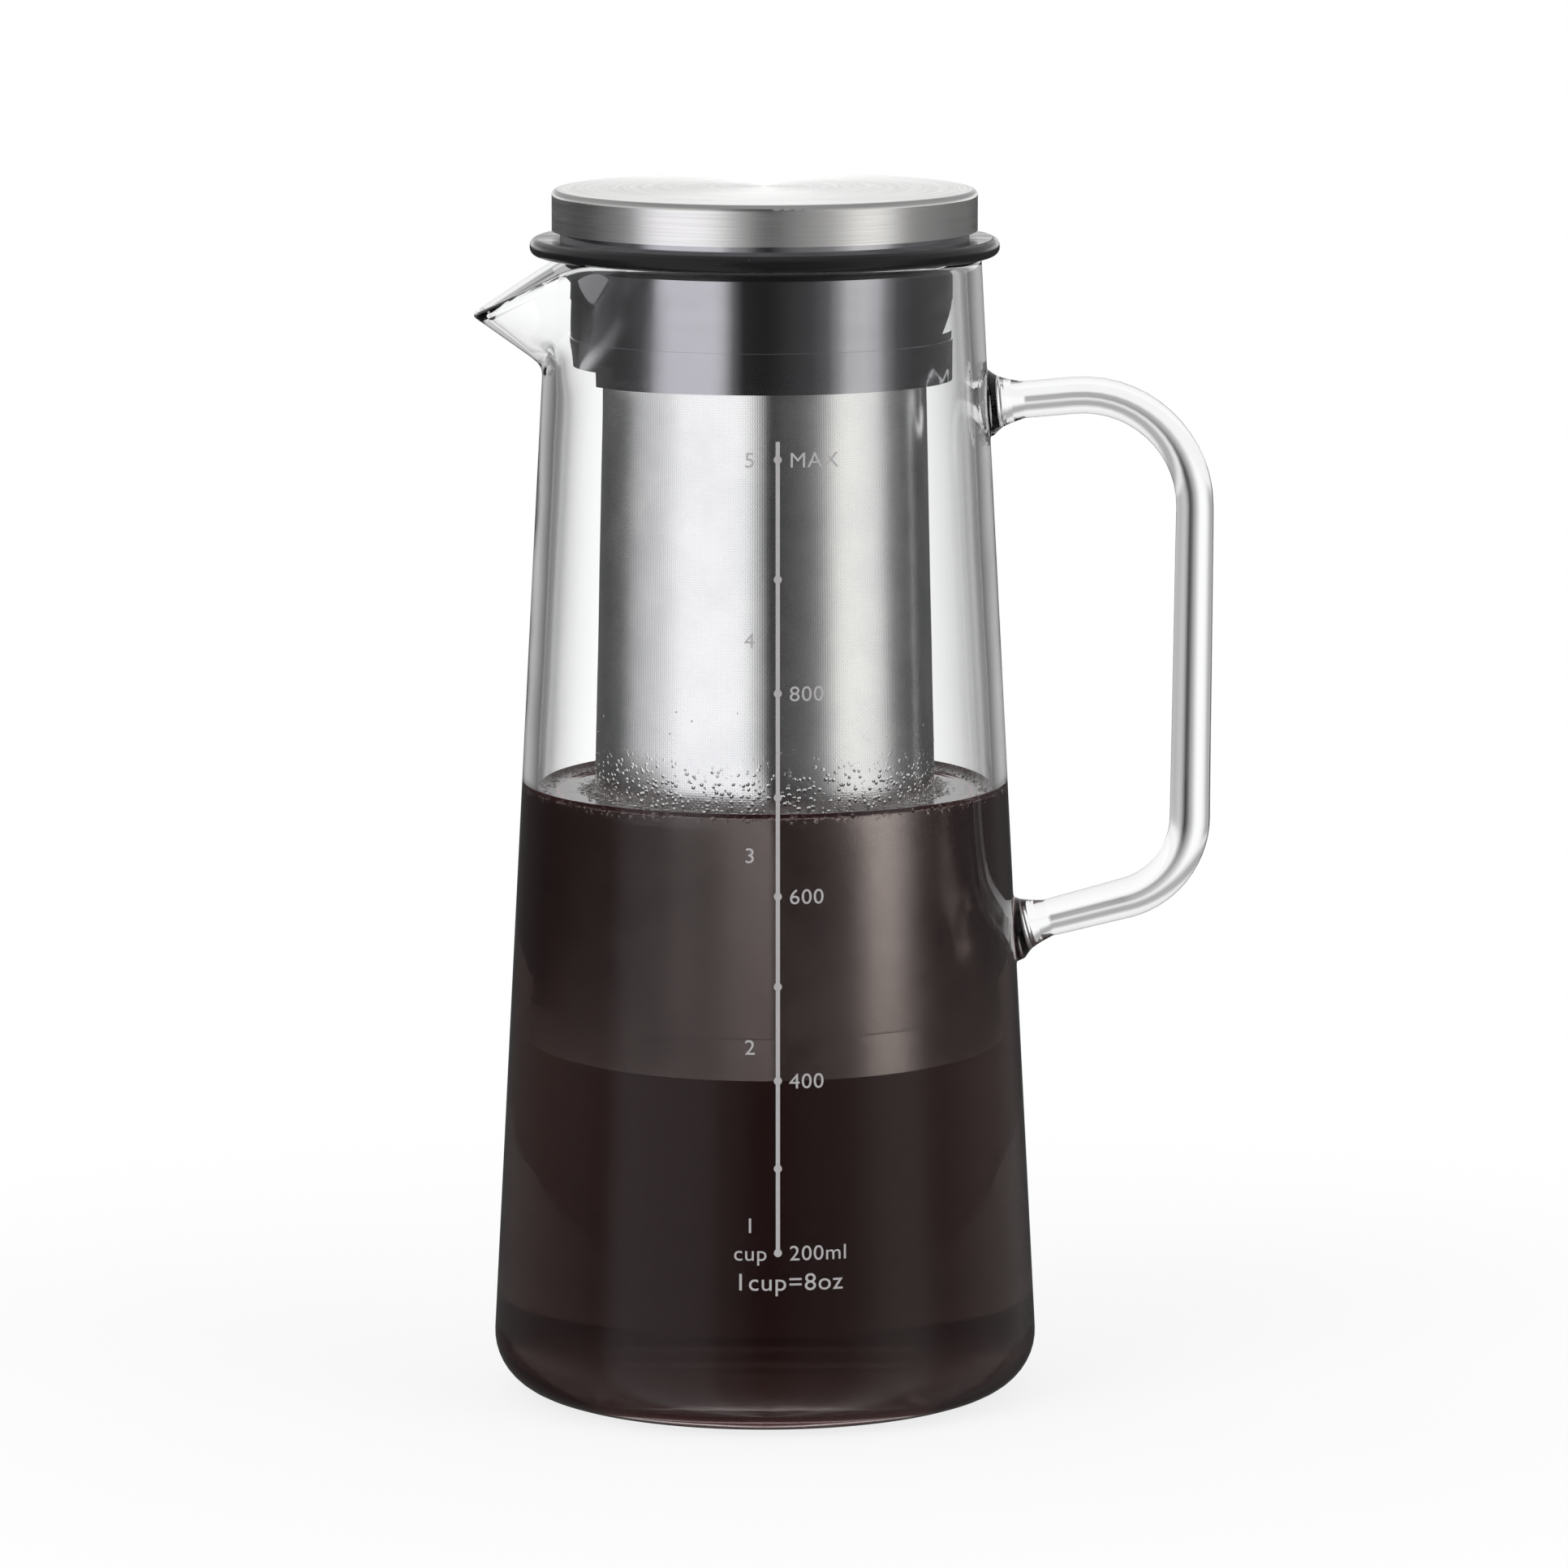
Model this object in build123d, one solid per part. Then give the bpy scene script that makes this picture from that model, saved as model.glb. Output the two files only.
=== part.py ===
from build123d import *
import os
from math import asin, cos, radians, sin

os.makedirs("parts", exist_ok=True)

# Cold brew coffee maker: a tapered glass carafe with a pulled spout and a fused rod handle, a
# stopper that hangs a steel filter in the coffee, and a steel-covered cap on the stopper.
# Millimetres, +Z up, origin at the centre of the base. The spout points along -X and the handle
# stands along +X.

# ---- Fits that every piece shares ----
snug = 0.05  # gap between curved faces that are pressed together
slip = 0.3  # gap between curved faces that slide past each other
overcut = 2.0  # how far a cutting shape runs past the face that it opens
touch = 0.001  # two faces this close together count as one

# ---- Glass carafe ----
carafe_height = 209.2
foot_radius = 50.45  # where the wall's straight line would meet the table
mouth_radius = 39.36
heel_rounding = 10.3
glass_wall = 2.8
base_glass = 4.0
rim_rounding = 0.8

# ---- Pulled spout ----
spout_reach = 53.6  # from the carafe's axis to the tip
spout_drop = 11.0  # from the rim down to the tip
spout_depth = 20.2  # from the rim down to where the spout leaves the wall
spout_nose = 7.7  # plan radius of the tip
spout_wall = 2.4
lip_start = 34.0  # from the axis to where the lip's slope would meet the level rim
lip_blend = 16.0  # rounding between the level rim and the sloping lip
spout_bite = 0.15  # how far the spout's sides start inside the wall that they leave

# ---- Rod handle ----
rod_diameter = 7.1
finger_room = 34.0  # from the wall to the grip, at the upper arm
upper_arm_drop = 27.2  # from the rim down to the upper root
handle_span = 96.5  # from the upper root down to the lower root
upper_arm_rise = 5.0  # degrees, outwards
lower_arm_rise = 14.5  # degrees, outwards
upper_bend = 18.2
lower_bend = 15.2
root_flare = 6.3  # radius of the fused root at the wall
root_flare_length = 5.5

# ---- Stopper in the neck ----
pour_gap = 2.4  # ring between the stopper and the neck, which the coffee pours through
stopper_depth = 22.3  # below the rim
skirt_wall = 3.2
spigot_wall = 2.2
spigot_inset = 3.2  # how far the inner spigot ends above the skirt
groove_roof = 5.2  # below the rim: the roof of the groove that takes the filter
relief_depth = 0.2  # shallow band moulded round the skirt
relief_height = 7.1
relief_below_rim = 7.8
vent_notch_depth = 2.8
vent_notch_height = 5.8
vent_notch_width = 28.0
vent_notch_below_rim = 13.3  # from the rim down to the notch's sill
pour_notch_height = 2.6
pour_notch_width = 34.0

# ---- Seal ring round the stopper ----
seal_overhang = 3.34  # past the outside of the rim
seal_thickness = 3.1
seal_lip_depth = 1.9
seal_edge_rounding = 1.4

# ---- Cap ----
deck_height = 1.4  # the stopper's collar, which shows as a dark recess under the cap
cap_inset = 4.0  # from the seal ring's edge in to the cap
recess_depth = 1.5  # from the cap's side in to the collar
cap_height = 7.4
cap_crown = 0.5
cap_sheet = 0.6
cap_edge_rounding = 1.1
core_wall = 1.8
plug_gap = 0.9  # between the cap's plug and the stopper's bore
plug_depth = 16.0
plug_wall = 3.2
plug_floor = 2.0
seal_cord = 2.4  # diameter of the cap's O-ring
seal_cord_below_deck = 8.0

# ---- Filter ----
filter_collar_wall = 1.6
filter_collar_height = 9.0
filter_length = 141.0
filter_flare = 3.2  # how much wider the foot of the tube is than its top, on the radius
mesh_sheet = 0.4
lining_sheet = 0.4
lining_gap = 0.2
lining_below_spigot = 2.0
cup_sheet = 0.5
cup_height = 7.5
filter_travel = 45.0  # how far the filter pulls down off the stopper inside the carafe

# ---- Coffee ----
fill_height = 111.3
coffee_film = 0.15  # between the coffee and the glass

# ---- Places that follow from the sizes ----
upper_root_height = carafe_height - upper_arm_drop
lower_root_height = upper_root_height - handle_span
spout_root_height = carafe_height - spout_depth
spout_tip_height = carafe_height - spout_drop
seal_top = carafe_height + seal_thickness
deck_top = seal_top + deck_height
cap_shoulder = deck_top + cap_height
stopper_bottom = carafe_height - stopper_depth
spigot_bottom = stopper_bottom + spigot_inset
filter_top = carafe_height - groove_roof
filter_foot = filter_top - filter_length

mouth_bore = mouth_radius - glass_wall
stopper_radius = mouth_bore - pour_gap
skirt_bore = stopper_radius - skirt_wall
filter_collar_radius = skirt_bore - slip
filter_top_radius = filter_collar_radius - filter_collar_wall - snug
spigot_radius = filter_top_radius - mesh_sheet - slip
stopper_bore = spigot_radius - spigot_wall
seal_radius = mouth_radius + seal_overhang
cap_radius = seal_radius - cap_inset
deck_radius = cap_radius - recess_depth
core_radius = cap_radius - cap_sheet - snug
plug_radius = stopper_bore - plug_gap
seal_cord_radius = stopper_bore - slip - seal_cord / 2
filter_widest = filter_top_radius + filter_flare + snug + cup_sheet


def outer_radius(height):
    """Outside radius of the carafe's straight wall at a height."""
    return foot_radius + (mouth_radius - foot_radius) * height / carafe_height


def inner_radius(height):
    """Inside radius of the carafe's straight wall at a height."""
    return outer_radius(height) - glass_wall


def filter_radius(height):
    """Outside radius of the filter's tube at a height."""
    return filter_top_radius + filter_flare * (filter_top - height) / filter_length


def turned(outline):
    """A solid turned about the Z axis from a face drawn as (radius, height)."""
    return revolve(Plane.XZ * outline, Axis.Z)


def ring(*corners):
    """A turned solid whose section has straight sides between its corners."""
    return turned(make_face(Polyline(*corners, close=True)))


def corner_of(outline, point):
    """The corner of a flat outline that lies nearest to a point."""
    return outline.vertices().sort_by_distance((*point, 0))[0]


# ---- Carafe ----
def carafe_outside():
    """The solid envelope of the carafe, without its spout."""
    heel = (foot_radius, 0)
    rim = (mouth_radius, carafe_height)
    outline = make_face(Polyline((0, 0), heel, rim, (0, carafe_height), close=True))
    return turned(fillet(corner_of(outline, heel), heel_rounding))


def carafe_inside(top, film=0.0):
    """What fills the carafe up to a height, a film's width clear of its wall."""
    heel = (inner_radius(base_glass) - film, base_glass)
    shoulder = (inner_radius(top) - film, top)
    outline = make_face(Polyline((0, base_glass), heel, shoulder, (0, top), close=True))
    return turned(fillet(corner_of(outline, heel), heel_rounding - glass_wall))


spout_run = spout_reach - outer_radius(spout_root_height)
spout_lean = spout_run / (spout_tip_height - spout_root_height)
spout_skin = spout_wall * (1 + spout_lean**2) ** 0.5  # the sloping floor's thickness, measured level


def spout_edge(height):
    """How far the outside of the spout stands from the axis at a height."""
    return outer_radius(spout_root_height) + spout_lean * (height - spout_root_height)


def spout_section(height, edge, wall_radius, nose_radius):
    """Plan of the spout: a round nose whose tangents run back to the neck."""
    centre = edge - nose_radius
    spread = asin((wall_radius - nose_radius) / centre)
    leave = Vector(-wall_radius * sin(spread), wall_radius * cos(spread))
    meet = Vector(-centre - nose_radius * sin(spread), nose_radius * cos(spread))
    nose = ThreePointArc(meet, (-edge, 0), (meet.X, -meet.Y))
    near_side = Polyline((0, 0), leave, meet)
    far_side = Polyline((meet.X, -meet.Y), (leave.X, -leave.Y), (0, 0))
    return Plane.XY.offset(height) * make_face(near_side + nose + far_side)


def spout_solid(start, setback, wall, nose_radius):
    """The spout from its root to above the rim, set back from its outside by a skin."""
    top = carafe_height + overcut
    steps = 5
    sections = []
    for step in range(steps + 1):
        height = start + (top - start) * step / steps
        wall_radius = outer_radius(height) - wall - spout_bite
        sections.append(spout_section(height, spout_edge(height) - setback, wall_radius, nose_radius))
    return loft(sections)


def above_the_lip():
    """Everything above the level rim and the lip that slopes down to the spout's tip."""
    corner = Vector(-lip_start, carafe_height)
    tip = Vector(-spout_reach, spout_tip_height)
    past_spout = -spout_edge(carafe_height + overcut) - overcut
    past_tip = corner + (tip - corner) * ((past_spout - corner.X) / (tip.X - corner.X))
    past_rim = mouth_radius + overcut
    top = carafe_height + 2 * overcut
    outline = make_face(
        Polyline(
            past_tip,
            corner,
            (past_rim, carafe_height),
            (past_rim, top),
            (past_spout, top),
            close=True,
        )
    )
    outline = fillet(corner_of(outline, (corner.X, corner.Y)), lip_blend)
    return extrude(Plane.XZ * outline, past_rim, both=True)


def runs_along(edge, solid):
    """True if an edge lies on a solid's surface from end to end."""
    spots = (0, 0.3, 0.7, 1)
    return all(solid.distance_to(edge @ spot) < touch for spot in spots)


def glass_carafe():
    """The blown body: envelope and spout, hollowed, cut at the lip and fire-polished there."""
    wall_slope = (mouth_radius - foot_radius) / carafe_height
    inside_start = spout_root_height + (spout_skin - glass_wall) / (spout_lean - wall_slope)
    glass = carafe_outside() + spout_solid(spout_root_height, 0, 0, spout_nose)
    glass -= carafe_inside(carafe_height + overcut)
    glass -= spout_solid(inside_start, spout_skin, glass_wall, spout_nose - spout_wall)
    cut = above_the_lip()
    glass -= cut
    lip = [edge for edge in glass.edges() if runs_along(edge, cut)]
    return fillet(lip, rim_rounding)


# ---- Handle ----
def handle_root(height, rise):
    """Where an arm's centre line meets the wall, and the direction that it leaves in."""
    leave = Vector(cos(radians(rise)), 0, sin(radians(rise)))
    return Vector(outer_radius(height), 0, height), leave


def root_cone(root, leave):
    """The flared end of an arm, sunk into the wall so that it can be cut to it."""
    sink = glass_wall
    slope = (root_flare - rod_diameter / 2) / root_flare_length
    cone = Cone(
        root_flare + slope * sink,
        rod_diameter / 2,
        root_flare_length + sink,
        align=(Align.CENTER, Align.CENTER, Align.MIN),
    )
    return Plane(origin=root - leave * sink, z_dir=leave) * cone


def glass_handle():
    """A bent rod whose two flared roots are cut to the wall that they are fused to."""
    reach = outer_radius(upper_root_height) + finger_room + rod_diameter / 2
    upper, upper_leave = handle_root(upper_root_height, upper_arm_rise)
    lower, lower_leave = handle_root(lower_root_height, lower_arm_rise)
    upper_corner = upper + upper_leave * ((reach - upper.X) / upper_leave.X)
    lower_corner = lower + lower_leave * ((reach - lower.X) / lower_leave.X)
    start = upper - upper_leave * glass_wall
    end = lower - lower_leave * glass_wall
    route = FilletPolyline(start, upper_corner, lower_corner, end, radius=[upper_bend, lower_bend])
    rod = sweep(Plane(origin=start, z_dir=upper_leave) * Circle(rod_diameter / 2), path=route)
    handle = rod + root_cone(upper, upper_leave) + root_cone(lower, lower_leave)
    return handle - carafe_outside()


# ---- Stopper ----
def stopper_body():
    """The plug: an outer skirt and an inner spigot with the filter's groove between them."""
    body = ring(
        (skirt_bore, stopper_bottom),
        (stopper_radius, stopper_bottom),
        (stopper_radius, seal_top),
        (deck_radius, seal_top),
        (deck_radius, deck_top),
        (stopper_bore, deck_top),
        (stopper_bore, spigot_bottom),
        (spigot_radius, spigot_bottom),
        (spigot_radius, filter_top),
        (skirt_bore, filter_top),
    )
    relief_top = carafe_height - relief_below_rim
    relief = ring(
        (stopper_radius - relief_depth, relief_top - relief_height),
        (stopper_radius + overcut, relief_top - relief_height),
        (stopper_radius + overcut, relief_top),
        (stopper_radius - relief_depth, relief_top),
    )
    return body - relief - vent_notch() - pour_notch()


def vent_notch():
    """A V cut into the skirt on the handle's side, level at its sill."""
    sill = carafe_height - vent_notch_below_rim
    apex = stopper_radius - vent_notch_depth
    slope = vent_notch_height / vent_notch_depth
    outline = make_face(
        Polyline(
            (apex, sill),
            (stopper_radius + overcut, sill),
            (stopper_radius + overcut, sill + slope * (vent_notch_depth + overcut)),
            close=True,
        )
    )
    return extrude(Plane.XZ * outline, vent_notch_width / 2, both=True)


def pour_notch():
    """A slot under the skirt on the spout's side."""
    slot = Box(
        stopper_radius + overcut,
        pour_notch_width,
        pour_notch_height + overcut,
        align=(Align.MAX, Align.CENTER, Align.MIN),
    )
    return Pos(0, 0, stopper_bottom - overcut) * slot


def seal_ring():
    """The silicone flange on the glass rim, with a lip that reaches down into the neck."""
    inside = stopper_radius + snug
    lip_radius = mouth_bore - slip
    lip_bottom = carafe_height - seal_lip_depth
    edge_low = (seal_radius, carafe_height)
    edge_high = (seal_radius, seal_top)
    outline = make_face(
        Polyline(
            (inside, lip_bottom),
            (lip_radius, lip_bottom),
            (lip_radius, carafe_height),
            edge_low,
            edge_high,
            (inside, seal_top),
            close=True,
        )
    )
    edge = [corner_of(outline, edge_low), corner_of(outline, edge_high)]
    return turned(fillet(edge, seal_edge_rounding))


# ---- Cap ----
def domed_drum(radius, bottom, shoulder, rounding):
    """A round drum with a shallow crown and a rounded shoulder."""
    crown = (0, shoulder + cap_crown)
    edge = (radius, shoulder)
    crown_radius = (radius**2 + cap_crown**2) / (2 * cap_crown)
    sides = Polyline(crown, (0, bottom), (radius, bottom), edge)
    outline = make_face(sides + RadiusArc(edge, crown, -crown_radius))
    return turned(fillet(corner_of(outline, edge), rounding))


def cap_cover():
    """The drawn steel cover, open below."""
    cover = domed_drum(cap_radius, deck_top, cap_shoulder, cap_edge_rounding)
    hollow = domed_drum(
        cap_radius - cap_sheet,
        deck_top,
        cap_shoulder - cap_sheet,
        cap_edge_rounding - cap_sheet,
    )
    return cover - hollow


def cap_core():
    """The insert in the cover: a rim, a plate and a cup-shaped plug with the O-ring's groove."""
    plate_top = cap_shoulder - cap_edge_rounding
    plate_bottom = plate_top - core_wall
    plug_bottom = deck_top - plug_depth
    plug_bore = plug_radius - plug_wall
    body = ring(
        (0, plug_bottom),
        (plug_radius, plug_bottom),
        (plug_radius, plate_bottom),
        (core_radius - core_wall, plate_bottom),
        (core_radius - core_wall, deck_top),
        (core_radius, deck_top),
        (core_radius, plate_top),
        (plug_bore, plate_top),
        (plug_bore, plug_bottom + plug_floor),
        (0, plug_bottom + plug_floor),
    )
    cord_height = deck_top - seal_cord_below_deck
    cord_half = seal_cord / 2 + snug
    groove = ring(
        (seal_cord_radius - cord_half, cord_height - cord_half),
        (plug_radius + overcut, cord_height - cord_half),
        (plug_radius + overcut, cord_height + cord_half),
        (seal_cord_radius - cord_half, cord_height + cord_half),
    )
    return body - groove


def cap_seal():
    """The O-ring in the plug's groove, drawn unsqueezed and clear of the bore."""
    return Pos(0, 0, deck_top - seal_cord_below_deck) * Torus(seal_cord_radius, seal_cord / 2)


# ---- Filter ----
def filter_mesh():
    """The fine outer tube, a little wider at its foot."""
    foot = filter_foot + cup_sheet
    return ring(
        (filter_radius(foot) - mesh_sheet, foot),
        (filter_radius(foot), foot),
        (filter_radius(filter_top), filter_top),
        (filter_radius(filter_top) - mesh_sheet, filter_top),
    )


def filter_lining():
    """The coarser tube inside the fine one, ending below the stopper's spigot."""
    foot = filter_foot + cup_sheet
    top = spigot_bottom - lining_below_spigot
    setback = mesh_sheet + lining_gap
    return ring(
        (filter_radius(foot) - setback - lining_sheet, foot),
        (filter_radius(foot) - setback, foot),
        (filter_radius(top) - setback, top),
        (filter_radius(top) - setback - lining_sheet, top),
    )


def filter_collar():
    """The ring round the top of the tube, which the stopper's groove grips."""
    bottom = filter_top - filter_collar_height
    return ring(
        (filter_radius(bottom) + snug, bottom),
        (filter_collar_radius, bottom),
        (filter_collar_radius, filter_top),
        (filter_radius(filter_top) + snug, filter_top),
    )


def filter_base():
    """The cup that closes the foot of the tube."""
    floor_top = filter_foot + cup_sheet
    top = filter_foot + cup_height
    return ring(
        (0, filter_foot),
        (filter_radius(filter_foot) + snug + cup_sheet, filter_foot),
        (filter_radius(top) + snug + cup_sheet, top),
        (filter_radius(top) + snug, top),
        (filter_radius(floor_top) + snug, floor_top),
        (0, floor_top),
    )


# ---- Coffee ----
def coffee():
    """The coffee, with a straight well that the filter can travel in."""
    well_radius = filter_widest + slip
    well_floor = filter_foot - filter_travel - slip
    well = Pos(0, 0, well_floor) * Cylinder(
        well_radius,
        fill_height - well_floor + overcut,
        align=(Align.CENTER, Align.CENTER, Align.MIN),
    )
    return carafe_inside(fill_height, coffee_film) - well


pieces = {
    "glass_carafe": glass_carafe(),
    "glass_handle": glass_handle(),
    "coffee": coffee(),
    "stopper_body": stopper_body(),
    "seal_ring": seal_ring(),
    "cap_cover": cap_cover(),
    "cap_core": cap_core(),
    "cap_seal": cap_seal(),
    "filter_mesh": filter_mesh(),
    "filter_lining": filter_lining(),
    "filter_collar": filter_collar(),
    "filter_base": filter_base(),
}
for node, solid in pieces.items():
    export_step(solid, f"parts/{node}.step")
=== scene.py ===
import math
import random

import bmesh
import bpy
from mathutils import Matrix, Vector


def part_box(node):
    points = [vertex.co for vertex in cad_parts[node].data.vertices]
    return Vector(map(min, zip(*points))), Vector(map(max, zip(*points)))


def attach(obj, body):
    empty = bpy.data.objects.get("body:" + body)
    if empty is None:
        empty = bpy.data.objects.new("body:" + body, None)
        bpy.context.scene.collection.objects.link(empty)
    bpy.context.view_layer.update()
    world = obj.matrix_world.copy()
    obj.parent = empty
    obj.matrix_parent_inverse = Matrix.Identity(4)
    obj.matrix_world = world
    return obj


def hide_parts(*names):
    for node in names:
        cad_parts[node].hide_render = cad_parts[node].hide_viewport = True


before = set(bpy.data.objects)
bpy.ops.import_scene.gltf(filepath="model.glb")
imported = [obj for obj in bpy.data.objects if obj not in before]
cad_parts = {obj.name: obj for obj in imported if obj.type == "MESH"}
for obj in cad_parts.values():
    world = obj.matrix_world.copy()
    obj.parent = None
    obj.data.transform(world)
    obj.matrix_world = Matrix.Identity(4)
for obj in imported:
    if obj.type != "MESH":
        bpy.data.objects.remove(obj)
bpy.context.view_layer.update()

# Cold brew coffee maker. Metres, +Z up, the carafe stands on z = 0 with its axis on the Z axis,
# the spout towards -X and the handle towards +X. Sizes below are written in millimetres times MM.
MM = 0.001

# ---- Sizes read from the frame ----
carafe_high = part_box("glass_carafe")[1]
handle_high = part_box("glass_handle")[1]
filter_low, filter_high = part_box("filter_mesh")
coffee_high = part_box("coffee")[1]
cap_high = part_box("cap_cover")[1]

# ---- Carafe ----
RIM_HEIGHT = carafe_high.z
FOOT_RADIUS = 50.44 * MM  # where the wall's straight line would meet the table
MOUTH_RADIUS = 39.36 * MM
WALL = 2.8 * MM
BASE_GLASS = 4.0 * MM  # thickness of the glass under the coffee
HEEL = 10.3 * MM  # rounding between underside and wall
LIP_ROUND = 1.1 * MM  # height of the fire-polished round on the rim

# ---- Spout ----
SPOUT_REACH = 53.45 * MM  # from the axis to the tip before it is softened
SPOUT_TIP = RIM_HEIGHT - 11.0 * MM
SPOUT_ROOT = RIM_HEIGHT - 20.2 * MM  # height at which the spout leaves the wall
SPOUT_NOSE = 7.7 * MM  # its rounding, seen from above
SPOUT_WALL = 2.4 * MM
LIP_START = 34.0 * MM  # from the axis to where the lip turns down
LIP_BLEND = 16.0 * MM  # rounding of that turn
SPOUT_PULL_FROM = RIM_HEIGHT - 23.0 * MM  # below this ring the wall is left as it was spun
SPOUT_BACK = -26 * MM  # the spout's glass lies further out than this
SHOULDER_GLASS = 0.6 * MM  # how much thicker the glass is where the spout leaves the neck
SHOULDER_FOOT = 0.45  # the share of it that is there at the shoulder's foot
# Degrees from the spout's middle at which it begins, is full, begins to end and has ended.
SHOULDER_TURN = (14, 36, 46, 84)
SHOULDER_HEIGHT = (RIM_HEIGHT - 21 * MM, RIM_HEIGHT - 3 * MM)
SEAL_CLEAR = (RIM_HEIGHT - 4.6 * MM, 36.45 * MM)  # above this height, the seal needs this radius

# ---- Handle ----
ROD = 3.4 * MM  # radius of the rod
ROD_BELOW = 1.09  # how much thicker the drawn rod is towards its lower arm
GRIP_X = handle_high.x - ROD - 0.02 * MM
GRIP_LEAN = 0.55 * MM  # how much nearer the wall its middle runs at the foot of the grip
UPPER_ROOT = 182.1 * MM  # heights at which the rod is fused to the wall
LOWER_ROOT = 85.5 * MM
UPPER_RISE = math.radians(5.0)
LOWER_RISE = math.radians(14.5)
ROOTS = ((UPPER_ROOT, UPPER_RISE), (LOWER_ROOT, LOWER_RISE))
UPPER_BEND = 20.5 * MM
LOWER_BEND = 15.6 * MM
ROOT_FLARE = 6.3 * MM  # radius of the rod where it is fused
ROOT_FLARE_LENGTH = 5.5 * MM
ROOT_FILLET = (4.6 * MM, 8.4 * MM)  # the ring round a root where rod and wall run together
ROOT_SOFTENED = 7.6 * MM  # how far out from its middle a root is softened in the flame

# ---- Cap ----
CAP_EDGE = 1.1 * MM  # rounding of the drawn cover's shoulder
CAP_SHOULDER = cap_high.z - 0.5 * MM  # the crown stands this far above it

# ---- Coffee ----
FILL = coffee_high.z
SEAT = 0.15 * MM  # how far the coffee's skin lies inside the glass, so that no air shows between
MENISCUS = 1.3 * MM  # how far the coffee climbs at the glass
MENISCUS_REACH = 0.85  # millimetres from the glass over which most of its climb is lost
SPLASH = FILL + 11 * MM  # the filter is wet up to here
FROTH_BAND = 4.5 * MM  # how wide the froth lies round the filter
FROTH_RIM = (3.2 * MM, 1.2 * MM)  # and how far from the glass it thins out and ends

# ---- Filter tube ----
FILTER_TOP = 29.01 * MM  # radius of the tube at its top
FILTER_FLARE = 3.2 * MM  # and how much wider it is at its foot
FILTER_LENGTH = filter_high.z - filter_low.z
WIRE_PITCH = 0.45 * MM
TUBE_FLAT = math.radians(-9.0)  # how far the rolled tube's wall leans over at front and back
TUBE_SHOULDER = math.radians(-7.0)  # how far it leans beside them on the handle side
TUBE_SLACK = math.radians(-16.0)  # and on the spout side
TUBE_TWIST = math.radians(-7.0)  # and how far it is twisted at its foot
TUBE_ROLLED = (104 * MM, 122 * MM)  # heights between which the twist gives way to the lean

# ---- Froth and drops ----
FOAM_COUNT = 560
FOAM_SIZES = (0.14, 0.2, 0.28, 0.4)  # millimetres
RIM_FOAM_COUNT = 260
DROP_COUNT = 620
DROP_CLIMB = 3.4  # about how high above the coffee a drop sits on average, in millimetres
DROP_HIGHEST = 24 * MM

# ---- Printed scale ----
INK = 0.09 * MM  # thickness of the print
PROUD = 0.015 * MM  # how far its middle stands out from the wall
DIGIT = 2.75 * MM  # height of a digit
LETTER_WIDTH = 1.07
LETTER_SPACE = 1.06
CAPITAL_SHARE = 0.72  # height of a capital as a share of the letter's full size
SCALE_ACROSS = 2.3 * MM
SCALE_LINE = 0.75 * MM
SCALE_DOT = 1.45 * MM
SCALE_MARKS = {
    1000: 176.1 * MM,
    900: 154.8 * MM,
    800: 134.5 * MM,
    700: 115.9 * MM,
    600: 98.2 * MM,
    500: 82.0 * MM,
    400: 65.1 * MM,
    300: 49.3 * MM,
    200: 34.1 * MM,
}
SCALE_WORDS = {1000: "MAX", 800: "800", 600: "600", 400: "400", 200: "200ml"}
CUP_MARKS = {5: 176.1 * MM, 4: 144.0 * MM, 3: 105.6 * MM, 2: 71.2 * MM, 1: 39.1 * MM}
SCALE_TOP = 3.2 * MM  # how far the line runs past its highest dot
WORDS_ASIDE = 2.0 * MM  # from the line to the words on its right
CUPS_ASIDE = 5.0 * MM  # from the line to the middle of the numbers on its left
CUP_WORD_ASIDE = 1.9 * MM
NOTE_HEIGHT = 28.9 * MM  # middle of the words under the scale
NOTE_SIZE = 1.15  # their capitals as a share of a digit

# ---- Studio ----
# Each list of panels gives an azimuth from the camera's side, in degrees towards +X, and the light there.
PANELS = [
    (-180, 0.08), (-150, 0.06), (-100, 0.04), (-88, 0.06), (-80, 0.09), (-74, 0.28),
    (-67, (0.9, 0.89, 0.93)), (-60, (1.18, 1.17, 1.21)), (-32, (1.2, 1.19, 1.23)), (-26, 0.95),
    (-19, 0.22), (-13, 0.02), (0, 0.015), (8, 0.03), (18, 0.06), (28, 0.09), (38, 0.2), (45, 0.55),
    (51, (1.0, 0.99, 0.96)), (62, (1.12, 1.11, 1.07)), (71, 0.9), (78, 0.38), (86, 0.12), (100, 0.06),
    (120, 0.05), (150, 0.05), (180, 0.08),
]
UPPER_PANELS = [
    (-180, 1.0), (-100, 0.95), (-70, 1.0), (-30, 1.0), (-18, 0.25), (0, 0.06), (24, 0.2), (40, 0.6),
    (60, 1.0), (100, 0.9), (140, 0.95), (180, 1.0),
]
# What only a bare surface outside the glass mirrors besides, such as the cap: softer and wider.
OPEN_SHINE = [
    (-180, 0.0), (-110, 0.0), (-94, 0.08), (-84, 0.1), (-76, 0.0), (-30, 0.0), (-24, 0.3), (-12, 0.42),
    (-4, 0.1), (2, 0.03), (12, 0.16), (20, 0.24), (40, 0.24), (48, 0.1), (64, 0.0), (76, 0.0),
    (90, 0.12), (106, 0.16), (124, 0.1), (140, 0.1), (160, 0.0), (180, 0.0),
]
# How much of the panels' light comes back from the filter through the coffee.
BREW_SHINE = [
    (-180, 0.2), (-100, 0.2), (-72, 0.36), (-40, 0.5), (-16, 0.6), (6, 0.8), (40, 1.3), (60, 1.5),
    (86, 1.4), (110, 0.3), (180, 0.2),
]
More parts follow.
